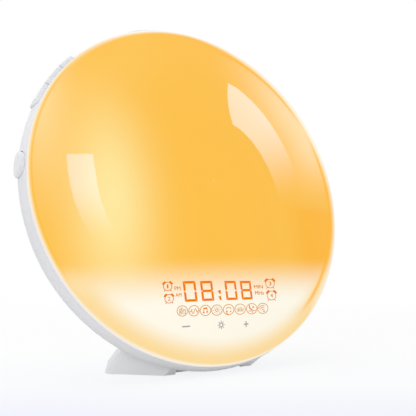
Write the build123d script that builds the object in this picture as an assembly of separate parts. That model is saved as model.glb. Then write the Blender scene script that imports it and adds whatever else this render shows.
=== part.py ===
from build123d import *
import os
from math import acos, asin, atan2, ceil, cos, hypot, radians, sin, sqrt, tan

# Sunrise alarm clock: a domed light disc that leans back on a hollow foot.
#
# Every piece but the foot is drawn in the disc's own frame: X to the viewer's
# right, Y from the lens towards the back, Z up along the disc, with the origin
# on the disc's axis in the plane of the lens edge. leaned() then stands it up.
# Lengths are in millimetres and angles in degrees.

# ---- disc and stance ----
disc_radius = 90.0
disc_lean = 14.0
floor_gap = 4.8              # lowest point of the lens edge above the surface
fit_gap = 0.3                # between pieces that move or drop into each other
seat_gap = 0.1               # between pieces that seat on a curved face

# ---- front lens ----
dome_height = 12.5
lens_wall = 2.0
lip_width = 2.0
lip_step = 1.5               # front of the lip, ahead of the edge plane
lip_groove = 0.35
lens_seat = 2.0              # depth of the lens's flat back edge
skirt_wall = 1.6
skirt_depth = 3.0
skirt_inset = 6.1

# ---- rear cover ----
cover_step = 0.2             # the cover's edge sits this far inside the lens edge
cover_wall = 2.2
rim_straight = 9.0
rim_corner = 16.0
rim_swell = 1.5              # crest of the rim's side, beyond the lens's edge
swell_depth = 8.0
swell_round = 8.0
back_slope = 10.0            # slope of the domed back where it meets the corner

# ---- reflector tray ----
tray_floor = 6.0
tray_wall = 1.5
tray_lip = 0.8               # how far the tray's wall stands ahead of the edge plane
post_inset = 22.0            # case posts, in from the lens's edge
post_radius = 3.6
post_angles = (30.0, 90.0, 150.0, 210.0, 330.0)

# ---- screws ----
case_screw = 1.3
small_screw = 1.0
head_ratio = 2.0
head_height = 1.4
screw_play = 0.3
counterbore = 3.4

# ---- lights ----
board_wall = 1.6
light_board_radius = 64.0
light_board_clear = 5.7      # from the display's mask up to the board's flat edge
light_ring_radii = (20.0, 40.0, 57.0)
light_counts = (6, 12, 18)
light_size = 3.5
light_height = 1.1

# ---- display ----
film_front = -1.7
film_wall = 0.3
frame_depth = 4.0
mask_margin = 2.0            # from the outermost wells to the mask's edges
rest_inset_x = 8.0
rest_inset_z = 3.0
digit_centres = (-18.6, -9.6, 4.5, 13.3)
digit_rise = 34.8            # this and the other rises are from the disc's lowest point
digit_width = 6.9
digit_height = 8.8
segment_width = 1.1
segment_gap = 0.5
colon_x = -2.5
colon_rise = 1.8
icon_rise = 25.7
icon_pitch = 6.6
icon_count = 8
icon_radius = 2.6
alarm_x = 29.6
alarm_rises = (37.7, 32.0)
legend_x = (-25.0, 21.3)
touch_rise = 18.2
touch_x = (-21.8, -2.7, 11.8)
touch_radius = 2.2
display_board_play = 1.5     # inside the tray's wall
chip_size = (1.6, 0.6, 0.8)

# ---- main board ----
main_depth = 12.0
main_width = 72.0
main_top = -18.0
main_bottom = -57.0
main_post_inset = 4.0
main_post_radius = 3.0
radio_length = 18.0
radio_width = 13.0
radio_can = 12.0
radio_inset = 5.0            # from the board's right edge
radio_z = -44.0
chip_width = 9.0
chip_space = 2.5             # between the chip and the radio
chip_z = -40.0
capacitor_radius = 3.0
ribbon_drop = 2.3            # below the mask's top edge
light_lead_x = -18.0
light_lead_z = -36.0

# ---- speaker ----
speaker_z = 14.0
speaker_radius = 21.0
flange_edge = 2.3            # from a speaker screw's axis to the flange's edge
flange_wall = 1.5
speaker_screw_length = 5.0
speaker_boss = 1.9
magnet_radius = 15.0
magnet_front = 9.6
magnet_back = 17.6
coil_radius = 6.3
coil_wall = 0.5
surround_width = 3.6
cone_travel = 0.6
gasket_width = 2.2
gasket_wall = 1.0
basket_window = 7.0
lead_tag = 2.6               # how far outside the speaker's opening its tags stand
speaker_back = 26.0          # back face of the speaker's flange
grille_margin = 2.0
grille_hole = 1.1
grille_pitch = 3.9

# ---- battery bay ----
bay_space = 3.0              # between the speaker's flange and the bay
bay_z = 0.0
bay_width = 23.0
bay_height = 24.0
bay_floor = 22.4
bay_wall = 1.5
door_wall = 1.8
door_gap = 0.4
hinge_radius = 1.2
hinge_depth = 1.25           # hinge's axis below the back's face
hinge_pin = 0.7
hinge_play = 0.06
hinge_socket = 1.0           # how deep the pins' holes go into the bay's walls
grip_width = 2.4
grip_length = 9.0
grip_inset = 3.0
grip_depth = 0.7
cell_radius = 10.0
cell_height = 3.2
contact_wall = 0.4

# ---- inlet and aerial exit ----
socket_z = -30.0
jack_x = -20.0
jack_radius = 4.6
jack_width = 9.4
jack_bore = 3.1
jack_pin = 1.05
jack_depth = 10.0
aerial_x = 20.0
grommet_radius = 4.4
grommet_neck = 3.0
grommet_bore = 1.0

# ---- buttons ----
button_depth = 7.8
button_gap = 0.3
flange_spread = 0.8
flange_outer = 2.6           # flange's outer face, inside the cover's edge radius
flange_inner = 4.2
oval_angle = 174.4
oval_length = 12.6
oval_width = 9.4
oval_proud = 1.2             # above the crest of the rim, as for the other caps
key_edges = (155.4, 146.9, 138.9, 132.0)
key_width = 8.4
key_proud = 1.1
key_split = 0.35
snooze_length = 62.0
snooze_width = 8.8
snooze_proud = 0.8
snooze_posts = (-11.0, 11.0)
button_travel = 0.6
edge_round = 0.7

# ---- switches behind the buttons ----
switch_depth = 9.2
switch_board_inset = 13.0    # outer face of a switch board, in from the lens's edge
switch_board_wall = 1.4
switch_board_width = 8.5
switch_size = 6.0
switch_height = 3.5
plunger_height = 1.5
plunger_radius = 1.6
post_pin = 1.5
block_half = 4.0
block_wall = 2.6

# ---- foot ----
foot_front = 15.5            # behind the line where the lens's edge plane meets the surface
foot_front_half = 25.3
foot_wide = 35.6
foot_wide_half = 47.2
foot_back = 71.0
foot_back_half = 30.0
foot_lift = 0.4
foot_wall = 2.2
front_lean = 32.0
side_lean = 36.0
back_lean = 27.0
crest_height = 40.0          # top of the foot, where it meets the back of the disc
crest_lean = 20.0
foot_round = 3.5
cheek_width = 6.0
recess_depth = 4.5
recess_height = 9.0
web_x = 15.0
web_wall = 2.0
foot_screw_rise = 26.0       # along the disc, from its lowest point
foot_boss_radius = 3.2
base_wall = 2.0
base_rise = 0.3
pad_radius = 4.5
pad_wall = 1.4
pad_places = ((31.0, 35.0), (22.0, 61.0))
base_boss_radius = 2.8
base_boss_top = 14.0
base_screw_y = (35.0, 57.0)
base_screw_length = 6.0
head_sink = 1.2              # how deep a base screw's head sinks into the plate

# ---- sizes that follow ----
lens_rim = disc_radius - lip_width
lens_rise = dome_height - lip_step
dome_radius = (lens_rim ** 2 + lens_rise ** 2) / (2 * lens_rise)
dome_centre = dome_radius - dome_height
skirt_radius = disc_radius - skirt_inset
tray_radius = skirt_radius - skirt_wall - fit_gap
cover_radius = disc_radius - cover_step
rim_crest = disc_radius + rim_swell
cover_front = lens_seat + seat_gap
corner_centre = cover_front + rim_straight
light_back = tray_floor
light_front = light_back - board_wall
frame_front = film_front + film_wall
display_back = frame_front + frame_depth
display_board_back = display_back + board_wall
main_back = main_depth + board_wall
disc_height = disc_radius * cos(radians(disc_lean)) + floor_gap
disc_back = disc_height * tan(radians(disc_lean))
post_ring = disc_radius - post_inset
switch_board_at = disc_radius - switch_board_inset
foot_screw_z = foot_screw_rise - disc_radius
digit_middle = digit_rise - disc_radius
icon_row = icon_rise - disc_radius
alarm_rows = [rise - disc_radius for rise in alarm_rises]
touch_row = touch_rise - disc_radius
display_half = alarm_x + icon_radius + mask_margin
display_top = alarm_rows[0] + icon_radius + mask_margin
display_bottom = icon_row - icon_radius - mask_margin
display_board_radius = tray_radius - tray_wall - display_board_play
light_board_flat = display_top + light_board_clear
ribbon_z = display_top - ribbon_drop
main_post_x = main_width / 2 - main_post_inset
main_post_z = (main_top - main_post_inset, main_bottom + main_post_inset)
radio_x = main_width / 2 - radio_inset - radio_length / 2
chip_x = radio_x - radio_length / 2 - chip_space - chip_width / 2
gasket_radius = speaker_radius + gasket_width
speaker_screw_ring = gasket_radius + seat_gap + speaker_boss
flange_radius = speaker_screw_ring + flange_edge
cone_radius = speaker_radius - surround_width
grille_radius = speaker_radius - grille_margin
bay_x = flange_radius + bay_space + bay_wall + bay_width / 2
capacitor_x = jack_x - jack_width / 2 - fit_gap - capacitor_radius


# ---- small shapes that the sub-parts share ----
def rod(radius, start, end, x=0.0, z=0.0):
    """A round bar along the disc's axis, between two depths."""
    return Pos(x, (start + end) / 2, z) * Rot(90, 0, 0) * Cylinder(radius, abs(end - start))


def slab(width, height, start, end, x=0.0, z=0.0):
    """A plate across the disc's axis, between two depths."""
    return Pos(x, (start + end) / 2, z) * Box(width, abs(end - start), height)


def radial_frame(angle, depth):
    """Z outwards from the disc's axis, X along the rim and Y towards the lens."""
    a = radians(angle)
    return Plane(origin=(0, depth, 0), x_dir=(-sin(a), 0, cos(a)), z_dir=(cos(a), 0, sin(a)))


def screw(radius, length):
    """A pan-head screw along Z, its head's underside at the origin, pointing down."""
    shank = Pos(0, 0, -length / 2) * Cylinder(radius, length)
    head = Pos(0, 0, head_height / 2) * Cylinder(radius * head_ratio, head_height)
    crown = head.edges().sort_by(Axis.Z)[-1]
    slot = Pos(0, 0, head_height) * (Box(radius * 2.2, 0.5, 0.9) + Box(0.5, radius * 2.2, 0.9))
    return shank + fillet(crown, 0.5) - slot


def back_screw(radius, length, x, depth, z):
    """A screw driven forwards from the back, its head's underside at a depth."""
    return Pos(x, depth, z) * Rot(-90, 0, 0) * screw(radius, length)


def turned(*points):
    """A solid of revolution about the disc's axis from radius and depth pairs."""
    return revolve(make_face(Polyline(*points, close=True)), Axis.Y)


def dome_arc(edge_radius, edge_depth, apex_depth):
    """An arc from an edge to the axis, centred on the axis."""
    rise = abs(apex_depth - edge_depth)
    way = 1 if apex_depth > edge_depth else -1
    radius = (edge_radius ** 2 + rise ** 2) / (2 * rise)
    half = asin(edge_radius / radius) / 2
    middle = (radius * sin(half), apex_depth - way * radius * (1 - cos(half)))
    return ThreePointArc((edge_radius, edge_depth), middle, (0, apex_depth))


def around(shape, x, z):
    return Pos(x, 0, z) * shape


def group(shapes):
    """Like pieces that share a node, each still a solid of its own."""
    return Compound([solid for shape in shapes for solid in shape.solids()])


def mirrored(shape):
    return mirror(shape, about=Plane.YZ)


def on_circle(centre, radius, angle):
    """A radius and depth on a circle; the angle turns from outwards to the back."""
    return centre[0] + radius * cos(angle), centre[1] + radius * sin(angle)


def bow(centre, radius, start, end):
    """An arc of a circle between two such angles."""
    angles = (start, (start + end) / 2, end)
    return ThreePointArc(*[on_circle(centre, radius, angle) for angle in angles])


def touching(near, far, radius):
    """The angle at which a line from far to near's circle of this radius touches it."""
    outwards, back = far[0] - near[0], far[1] - near[1]
    return atan2(back, outwards) + acos(radius / hypot(outwards, back))


def housing_solid(inset=0.0):
    """The rear cover's form, filled, with its faces moved in by inset.

    The rim's side swells on the outside, and is straight on the inside.
    """
    corner = rim_corner - inset
    hub = (cover_radius - rim_corner, corner_centre)
    start = (cover_radius - inset, cover_front)
    back = radians(90 - back_slope)
    apex = back_depth(0, inset)
    if inset > 0:
        turn = 0
        side = [Line(start, on_circle(hub, corner, turn))]
    else:
        crest = (rim_crest - swell_round, swell_depth)
        bend = swell_round - inset
        rise = touching(crest, start, bend)
        turn = touching(hub, crest, corner - bend)
        side = [
            Line(start, on_circle(crest, bend, rise)),
            bow(crest, bend, rise, turn),
            Line(on_circle(crest, bend, turn), on_circle(hub, corner, turn)),
        ]
    outline = Curve() + [
        Line((0, cover_front), start),
        *side,
        bow(hub, corner, turn, back),
        dome_arc(*on_circle(hub, corner, back), apex),
        Line((0, apex), (0, cover_front)),
    ]
    return revolve(make_face(outline), Axis.Y)


def back_depth(radius, inset=0.0):
    """Depth of the domed back at a radius from the disc's axis."""
    hub = cover_radius - rim_corner
    corner = rim_corner - inset
    turn = radians(90 - back_slope)
    edge_r = hub + corner * cos(turn)
    edge_d = corner_centre + corner * sin(turn)
    back_radius = edge_r / sin(radians(back_slope))
    return edge_d + sqrt(back_radius ** 2 - radius ** 2) - back_radius * cos(radians(back_slope))


def past_back():
    """A depth that is behind every face of the case."""
    return 1.3 * back_depth(0)


def lens_depth(radius, inset=0.0):
    """Depth of the lens's domed face at a radius; an inset of lens_wall is its inner face."""
    return dome_centre - sqrt((dome_radius - inset) ** 2 - radius ** 2)


# ---- lens and tray ----
def front_lens():
    inner = skirt_radius - skirt_wall
    bead = lens_rim + lip_groove
    outline = Curve() + [
        dome_arc(lens_rim, -lip_step, -dome_height),
        Polyline(
            (lens_rim, -lip_step),
            (lens_rim, -lip_step + 0.4),
            (bead, -lip_step + 0.4),
            (bead, -lip_step + 0.1),
        ),
        ThreePointArc((bead, -lip_step + 0.1), (disc_radius - 0.5, -0.5), (disc_radius, 0.6)),
        Polyline(
            (disc_radius, 0.6),
            (disc_radius, lens_seat),
            (skirt_radius, lens_seat),
            (skirt_radius, lens_seat + skirt_depth),
            (inner, lens_seat + skirt_depth),
            (inner, lens_depth(inner, lens_wall)),
        ),
        dome_arc(inner, lens_depth(inner, lens_wall), lens_wall - dome_height),
        Line((0, lens_wall - dome_height), (0, -dome_height)),
    ]
    return revolve(make_face(outline), Axis.Y)


def reflector_tray():
    floor_back = tray_floor + tray_wall
    inner = tray_radius - tray_wall
    tray = turned(
        (0, tray_floor), (inner, tray_floor), (inner, -tray_lip),
        (tray_radius, -tray_lip), (tray_radius, floor_back), (0, floor_back),
    )
    for centre, length in switch_boards():
        floor = switch_board_at - switch_board_wall - block_wall - fit_gap
        wide = max(length, 2 * (board_screw_offset(length) + block_half)) + 3
        notch = Pos(0, 0, floor + 20) * Box(wide, 30, 40)
        tray -= radial_frame(centre, switch_depth) * notch
    for angle in post_angles:
        x, z = polar(post_ring, angle)
        tray += rod(post_radius, floor_back - 0.5, case_post_end(), x, z)
        tray -= rod(case_screw - 0.15, floor_back + 2, case_post_end() + 1, x, z)
    for x, z in main_posts():
        tray += rod(main_post_radius, floor_back - 0.5, main_depth, x, z)
        tray -= rod(small_screw - 0.1, tray_floor + 2, main_depth + 1, x, z)
    for x, z in display_rests():
        tray += rod(2.5, display_board_back, tray_floor + 0.5, x, z)
    tray -= slab(14, 3, tray_floor - 1, floor_back + 1, 0, ribbon_z)
    tray -= slab(6, 4, tray_floor - 1, floor_back + 1, light_lead_x, light_lead_z)
    return tray


def polar(radius, angle):
    return radius * cos(radians(angle)), radius * sin(radians(angle))


def case_post_end():
    return back_depth(post_ring, cover_wall) - 4.0


def main_posts():
    return [(side * main_post_x, z) for side in (-1, 1) for z in main_post_z]


def display_rests():
    across = display_half - rest_inset_x
    rows = (display_top - rest_inset_z, display_bottom + rest_inset_z)
    return [(side * across, z) for side in (-1, 1) for z in rows]


# ---- lights ----
def light_board():
    board = rod(light_board_radius, light_front, light_back)
    drop = 2 * light_board_radius
    board -= slab(drop, drop, light_front - 1, light_back + 1, 0, light_board_flat - drop / 2)
    return board


def light_places():
    places = []
    for radius, count in zip(light_ring_radii, light_counts):
        for index in range(count):
            x, z = polar(radius, 90 + 360 * (index + 0.5) / count)
            if z > light_board_flat + light_size:
                places.append((x, z))
    return places


def light_leds():
    base = slab(light_size, light_size - 0.7, light_front - light_height, light_front)
    window = rod(1.1, light_front - light_height - 0.1, light_front - light_height + 0.3)
    led = base - window
    return group([around(led, x, z) for x, z in light_places()])


# ---- display ----
def segments():
    """Centre, width and height of each bar of the four digits and the colon's dots."""
    bar = digit_width - 2 * segment_width - segment_gap
    stroke = digit_height / 2 - 1.5 * segment_width - segment_gap
    side = digit_width / 2 - segment_width / 2
    level = digit_height / 2 - segment_width / 2
    out = []
    for x in digit_centres:
        out += [(x, digit_middle + rise, bar, segment_width) for rise in (-level, 0, level)]
        for across in (-side, side):
            for rise in (-level / 2, level / 2):
                out.append((x + across, digit_middle + rise, segment_width, stroke))
    out += [(colon_x, digit_middle + rise, 1.4, 1.4) for rise in (-colon_rise, colon_rise)]
    return out


def icons():
    start = -icon_pitch * (icon_count - 1) / 2
    row = [(start + index * icon_pitch, icon_row) for index in range(icon_count)]
    return row + [(side * alarm_x, z) for side in (-1, 1) for z in alarm_rows]


def legends():
    return [(x, digit_middle) for x in legend_x]


def display_frame():
    height = display_top - display_bottom
    middle = (display_top + display_bottom) / 2
    block = slab(2 * display_half, height, frame_front, display_back, 0, middle)
    start, end = frame_front - 1, display_back + 1
    wells = [slab(width, tall, start, end, x, z) for x, z, width, tall in segments()]
    wells += [rod(icon_radius, start, end, x, z) for x, z in icons()]
    wells += [slab(4.4, 5.6, start, end, x, z) for x, z in legends()]
    return block - wells


def display_film():
    height = display_top - display_bottom
    middle = (display_top + display_bottom) / 2
    return slab(2 * display_half, height, film_front, frame_front, 0, middle)


def display_leds():
    width, tall, high = chip_size
    spots = [(x, z) for x, z, *_ in segments()] + icons() + legends()
    chips = []
    for x, z in spots:
        across = min(width, segment_width - 0.2) if (x, z) not in icons() + legends() else width
        chips.append(slab(across, tall, display_back - high, display_back, x, z))
    return group(chips)


def display_board():
    top = display_top + 1.0
    bottom = -display_board_radius
    wide = 2 * display_half + 6
    plate = slab(wide, top - bottom, display_back, display_board_back, 0, (top + bottom) / 2)
    return plate & rod(display_board_radius, display_back - 1, display_board_back + 1)


def touch_pads():
    pads = []
    for x in touch_x:
        reach = sqrt((abs(x) + touch_radius) ** 2 + (abs(touch_row) + touch_radius) ** 2)
        front = lens_depth(reach, lens_wall) + seat_gap
        collar = rod(touch_radius, display_back - 1.0, display_back, x, touch_row)
        pads.append(rod(touch_radius - 0.7, front, display_back, x, touch_row) + collar)
    return group(pads)


# ---- main board ----
def main_board():
    height = main_top - main_bottom
    middle = (main_top + main_bottom) / 2
    board = slab(main_width, height, main_depth, main_back, 0, middle)
    for x, z in main_posts():
        board -= rod(small_screw + screw_play, main_depth - 1, main_back + 1, x, z)
    return board


def board_screws():
    length = main_back - tray_floor - tray_wall - 1.0
    return group([back_screw(small_screw, length, x, main_back, z) for x, z in main_posts()])


def control_chip():
    body = slab(chip_width, chip_width, main_back + 0.2, main_back + 1.6, chip_x, chip_z)
    legs = [
        slab(0.3, chip_width + 2, main_back, main_back + 0.5, chip_x + step * 1.2, chip_z)
        for step in range(-3, 4)
    ]
    return body + legs


def radio_module():
    """A small radio board under its own screening can."""
    carrier = slab(radio_length, radio_width, main_back, main_back + 0.8, radio_x, radio_z)
    can_x = radio_x - (radio_length - radio_can) / 2 + 1
    can = slab(radio_can, radio_width - 2, main_back + 0.8, main_back + 3.0, can_x, radio_z)
    return carrier + can


def capacitors():
    places = ((capacitor_x, -32), (capacitor_x, -41), (-10, -51))
    cans = []
    for x, z in places:
        can = rod(capacitor_radius, main_back, main_back + 9.0, x, z)
        rim = can.edges().sort_by(Axis.Y)[-1]
        cans.append(fillet(rim, 0.5))
    return group(cans)


def board_sockets():
    """White plug sockets for the leads to the lights, the speaker and the keys."""
    places = ((-6, -22), (10, -22), (-22, -50))
    sockets = []
    for x, z in places:
        shell = slab(8, 4.6, main_back, main_back + 5.0, x, z)
        sockets.append(shell - slab(6.6, 3.2, main_back + 1.2, main_back + 6, x, z))
    return group(sockets)


# ---- internal leads ----
def display_ribbon():
    return slab(11, 0.6, display_board_back, main_depth, 0, ribbon_z)


def light_lead():
    return slab(4, 1.4, light_back, main_depth, light_lead_x, light_lead_z)


def speaker_lead():
    """Two wires from the speaker's tags to their socket on the main board."""
    start = (-6, main_back + 1.2, -22)
    knee = (-6, main_back + 8.0, -22)
    tag_z = speaker_z - speaker_radius - lead_tag
    turn = (-6, main_back + 8.0, tag_z)
    tag = (-6, speaker_back - flange_wall, tag_z)
    path = FilletPolyline(start, knee, turn, tag, radius=2.0)
    section = Plane(origin=start, z_dir=(0, 1, 0)) * Rectangle(2.0, 1.0)
    return sweep(section, path=path)


# ---- speaker ----
def speaker_screw_places():
    return [polar(speaker_screw_ring, angle) for angle in (45, 135, 225, 315)]


def speaker_frame():
    neck = magnet_radius - 1.0
    floor = magnet_back
    flange = speaker_back - flange_wall
    frame = turned(
        (coil_radius + 1.0, floor), (neck, floor), (speaker_radius + 0.8, flange),
        (flange_radius, flange), (flange_radius, speaker_back), (speaker_radius, speaker_back),
        (speaker_radius, flange + 0.4), (neck - 0.8, floor + 1.2), (coil_radius + 1.0, floor + 1.2),
    )
    windows = [
        Rot(0, turn, 0) * slab(2 * flange_radius, basket_window, floor + 1.6, flange - 1.6)
        for turn in (0, 60, 120)
    ]
    holes = [
        rod(small_screw + screw_play, flange - 1, speaker_back + 1, x, z)
        for x, z in speaker_screw_places()
    ]
    return around(frame - windows - holes, 0, speaker_z)


def speaker_magnet():
    pole = coil_radius - coil_wall - 0.3
    ring = coil_radius + 0.4
    magnet = turned(
        (0, magnet_front), (magnet_radius, magnet_front), (magnet_radius, magnet_back),
        (ring, magnet_back), (ring, magnet_front + 2.4), (pole, magnet_front + 2.4),
        (pole, magnet_back), (0, magnet_back),
    )
    return around(magnet, 0, speaker_z)


def speaker_cone():
    """Paper cone with its dust cap and the voice coil's former, as one moving piece."""
    edge = speaker_back - 1.4
    base = magnet_back + 3.2
    coil_end = magnet_front + 2.4 + 2 * cone_travel
    outline = Curve() + [
        Polyline(
            (coil_radius, base + 0.9), (cone_radius, edge), (cone_radius, edge - 0.6),
            (coil_radius, base), (coil_radius, coil_end), (coil_radius - coil_wall, coil_end),
            (coil_radius - coil_wall, base + 0.4),
        ),
        dome_arc(coil_radius - coil_wall, base + 0.4, base + 1.9),
        Line((0, base + 1.9), (0, base + 2.5)),
        dome_arc(coil_radius, base + 0.9, base + 2.5),
    ]
    return around(revolve(make_face(outline), Axis.Y), 0, speaker_z)


def speaker_surround():
    """The rubber roll between the frame and the cone."""
    inner = cone_radius + fit_gap
    outer = speaker_radius - seat_gap
    middle = (inner + outer) / 2
    bottom = speaker_back - flange_wall + 0.5
    crest = speaker_back - 0.1
    outline = Curve() + [
        ThreePointArc((inner, bottom), (middle, crest), (outer, bottom)),
        Line((outer, bottom), (outer - 0.6, bottom)),
        ThreePointArc((outer - 0.6, bottom), (middle, crest - 0.6), (inner + 0.6, bottom)),
        Line((inner + 0.6, bottom), (inner, bottom)),
    ]
    return around(revolve(make_face(outline), Axis.Y), 0, speaker_z)


def speaker_gasket():
    ring = rod(gasket_radius, speaker_back, speaker_back + gasket_wall)
    return around(ring - rod(speaker_radius, 0, past_back()), 0, speaker_z)


def speaker_screws():
    """Driven backwards through the flange into the cover's bosses."""
    flange = speaker_back - flange_wall
    return group([
        Pos(x, flange, z + speaker_z) * Rot(90, 0, 0) * screw(small_screw, speaker_screw_length)
        for x, z in speaker_screw_places()
    ])


# ---- buttons ----
def arc_length(low, high):
    return radians(abs(high - low)) * cover_radius


def oval_spec():
    return dict(
        angle=oval_angle, board=oval_angle, length=oval_length, width=oval_width,
        low=True, high=True, proud=oval_proud, posts=(0.0,),
    )


def key_specs():
    """The strip's three keys, from the lowest up."""
    board = (key_edges[0] + key_edges[-1]) / 2
    specs = []
    for index, (high, low) in enumerate(zip(key_edges[:-1], key_edges[1:])):
        ends = dict(low=index == len(key_edges) - 2, high=index == 0)
        specs.append(dict(
            angle=(low + high) / 2, board=board, length=arc_length(low, high),
            width=key_width, proud=key_proud, posts=(0.0,), edges=(low, high), **ends,
        ))
    return specs


def snooze_spec():
    return dict(
        angle=90.0, board=90.0, length=snooze_length, width=snooze_width,
        low=True, high=True, proud=snooze_proud, posts=snooze_posts,
    )


def button_outline(spec, grow=0.0):
    """A rectangle along the rim, with a half-round end where the button has one."""
    width = spec["width"] + 2 * grow
    half = spec["length"] / 2 + grow
    low = width / 2 - half if spec["low"] else -half - key_split
    high = half - width / 2 if spec["high"] else half + key_split
    shape = Pos((low + high) / 2, 0) * Rectangle(high - low, width)
    if spec["low"]:
        shape += Pos(low, 0) * Circle(width / 2)
    if spec["high"]:
        shape += Pos(high, 0) * Circle(width / 2)
    return shape


def button_column(spec, grow, start, end):
    """The outline carried along the button's own direction of travel."""
    frame = radial_frame(spec["angle"], button_depth)
    column = Pos(0, 0, start) * extrude(button_outline(spec, grow), end - start)
    return frame * column


def split_plane(angle, way):
    """The radial plane beside the line between two keys, half the split away from it."""
    a = radians(angle)
    along = (-sin(a), 0, cos(a))
    return Plane(origin=[way * key_split / 2 * part for part in along], z_dir=along)


def plunger_top():
    return switch_board_at + switch_height + plunger_height


def button(spec):
    """Cap, hidden flange and the post that meets the switch."""
    top = rim_crest + spec["proud"]
    under = cover_radius - flange_inner
    cap = button_column(spec, 0, under - 6, top + 4) & (rod(top, -5, 40) - rod(under, -6, 41))
    face = [f for f in cap.faces() if f.geom_type == GeomType.CYLINDER and f.radius > top - 0.01]
    cap = fillet(face[0].edges(), edge_round)
    frame = radial_frame(spec["angle"], button_depth)
    wide = Rectangle(spec["length"] + 2 * key_split, spec["width"] + 2 * flange_spread)
    flange = frame * (Pos(0, 0, under - 6) * extrude(wide, 20))
    flange &= rod(cover_radius - flange_outer, -5, 40) - rod(under, -6, 41)
    cap += flange
    if not spec["low"]:
        cap = split(cap, split_plane(spec["edges"][0], 1), keep=Keep.TOP)
    if not spec["high"]:
        cap = split(cap, split_plane(spec["edges"][1], -1), keep=Keep.BOTTOM)
    drop = radians(spec["angle"] - spec["board"])
    end = plunger_top() / cos(drop) + post_pin * abs(sin(drop))
    for x in spec["posts"]:
        length = under + 1.0 - end
        offset = button_depth - switch_depth
        cap += frame * (Pos(x, offset, end + length / 2) * Cylinder(post_pin, length))
    return cap


def switch_places(spec):
    """Where a button's switches stand on their flat board, along the board."""
    drop = radians(spec["angle"] - spec["board"])
    return [plunger_top() * sin(drop) / cos(drop) + x for x in spec["posts"]]


def plunger(spec):
    frame = radial_frame(spec["board"], switch_depth)
    depth = 0.8
    length = plunger_height + depth
    middle = plunger_top() - length / 2
    pins = [
        frame * (Pos(x, 0, middle) * Cylinder(plunger_radius, length))
        for x in switch_places(spec)
    ]
    return pins[0] if len(pins) == 1 else group(pins)


def tact_switch():
    """A square switch body with the well that its plunger sinks into."""
    body = Pos(0, 0, switch_height / 2) * Box(switch_size, switch_size, switch_height)
    body = fillet(body.edges().filter_by(Axis.Z), 0.5)
    well = 0.8 + 2 * button_travel
    return body - Pos(0, 0, switch_height - well / 2) * Cylinder(plunger_radius + 0.25, well)


def tact_switches():
    switches = []
    for spec in [oval_spec()] + key_specs():
        frame = radial_frame(spec["board"], switch_depth)
        for x in switch_places(spec):
            body = frame * (Pos(x, 0, switch_board_at) * tact_switch())
            switches += [body, mirrored(body)]
    frame = radial_frame(90.0, switch_depth)
    for x in switch_places(snooze_spec()):
        switches.append(frame * (Pos(x, 0, switch_board_at) * tact_switch()))
    return group(switches)


def key_board_length():
    return 2 * switch_places(key_specs()[0])[0] + switch_size + 3.0


def oval_board_length():
    return switch_size + 9.0


def snooze_board_length():
    return 2 * snooze_posts[1] + switch_size + 3.0


def switch_boards():
    """Centre angle and length of every switch board, left, top and right."""
    keys = (key_edges[0] + key_edges[-1]) / 2
    left = [(oval_angle, oval_board_length()), (keys, key_board_length())]
    right = [(180 - angle, length) for angle, length in left]
    return left + [(90.0, snooze_board_length())] + right


def board_screw_offset(length):
    """Beside the middle switch on the key and oval boards, central on the snooze board."""
    return 0.0 if length == snooze_board_length() else switch_size / 2 + 2.2


def switch_board(angle, length):
    plate = Box(length, switch_board_width, switch_board_wall)
    middle = switch_board_at - switch_board_wall / 2
    hole = Pos(board_screw_offset(length), 0, 0) * Cylinder(small_screw + screw_play, 4)
    board = Pos(0, 0, middle) * (plate - hole)
    return radial_frame(angle, switch_depth + 0.4) * board


def oval_boards():
    board = switch_board(oval_angle, oval_board_length())
    return group([board, mirrored(board)])


def key_boards():
    board = switch_board((key_edges[0] + key_edges[-1]) / 2, key_board_length())
    return group([board, mirrored(board)])


def snooze_board():
    return switch_board(90.0, snooze_board_length())


def side_screw(angle, length):
    frame = radial_frame(angle, switch_depth + 0.4)
    return frame * (Pos(board_screw_offset(length), 0, switch_board_at) * screw(small_screw, 3.6))


def switch_screws():
    left = [side_screw(angle, length) for angle, length in switch_boards()[:2]]
    top = side_screw(90.0, snooze_board_length())
    return group(left + [mirrored(item) for item in left] + [top])


def switch_block(angle, length):
    """The rear cover's block that a switch board is screwed to, and its screw hole."""
    frame = radial_frame(angle, switch_depth + 0.4)
    top = switch_board_at - switch_board_wall
    front = switch_board_width / 2
    back = 22.0
    wide = 2 * (board_screw_offset(length) + block_half)
    block = Pos(0, (front - back) / 2, top - block_wall / 2) * Box(wide, front + back, block_wall)
    hole = Pos(board_screw_offset(length), 0, top) * Cylinder(small_screw - 0.1, 2 * block_wall + 2)
    return frame * (block - hole)


# ---- rear cover ----
def grille_places():
    rows = ceil(grille_radius / grille_pitch) + 1
    spots = []
    for row in range(-rows, rows + 1):
        for column in range(-rows, rows + 1):
            x = (column + (row % 2) / 2) * grille_pitch
            z = row * grille_pitch * sin(radians(60))
            if sqrt(x * x + z * z) <= grille_radius:
                spots.append((x, z + speaker_z))
    return spots


def all_button_specs():
    left = [oval_spec()] + key_specs()
    return left, snooze_spec()


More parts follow.
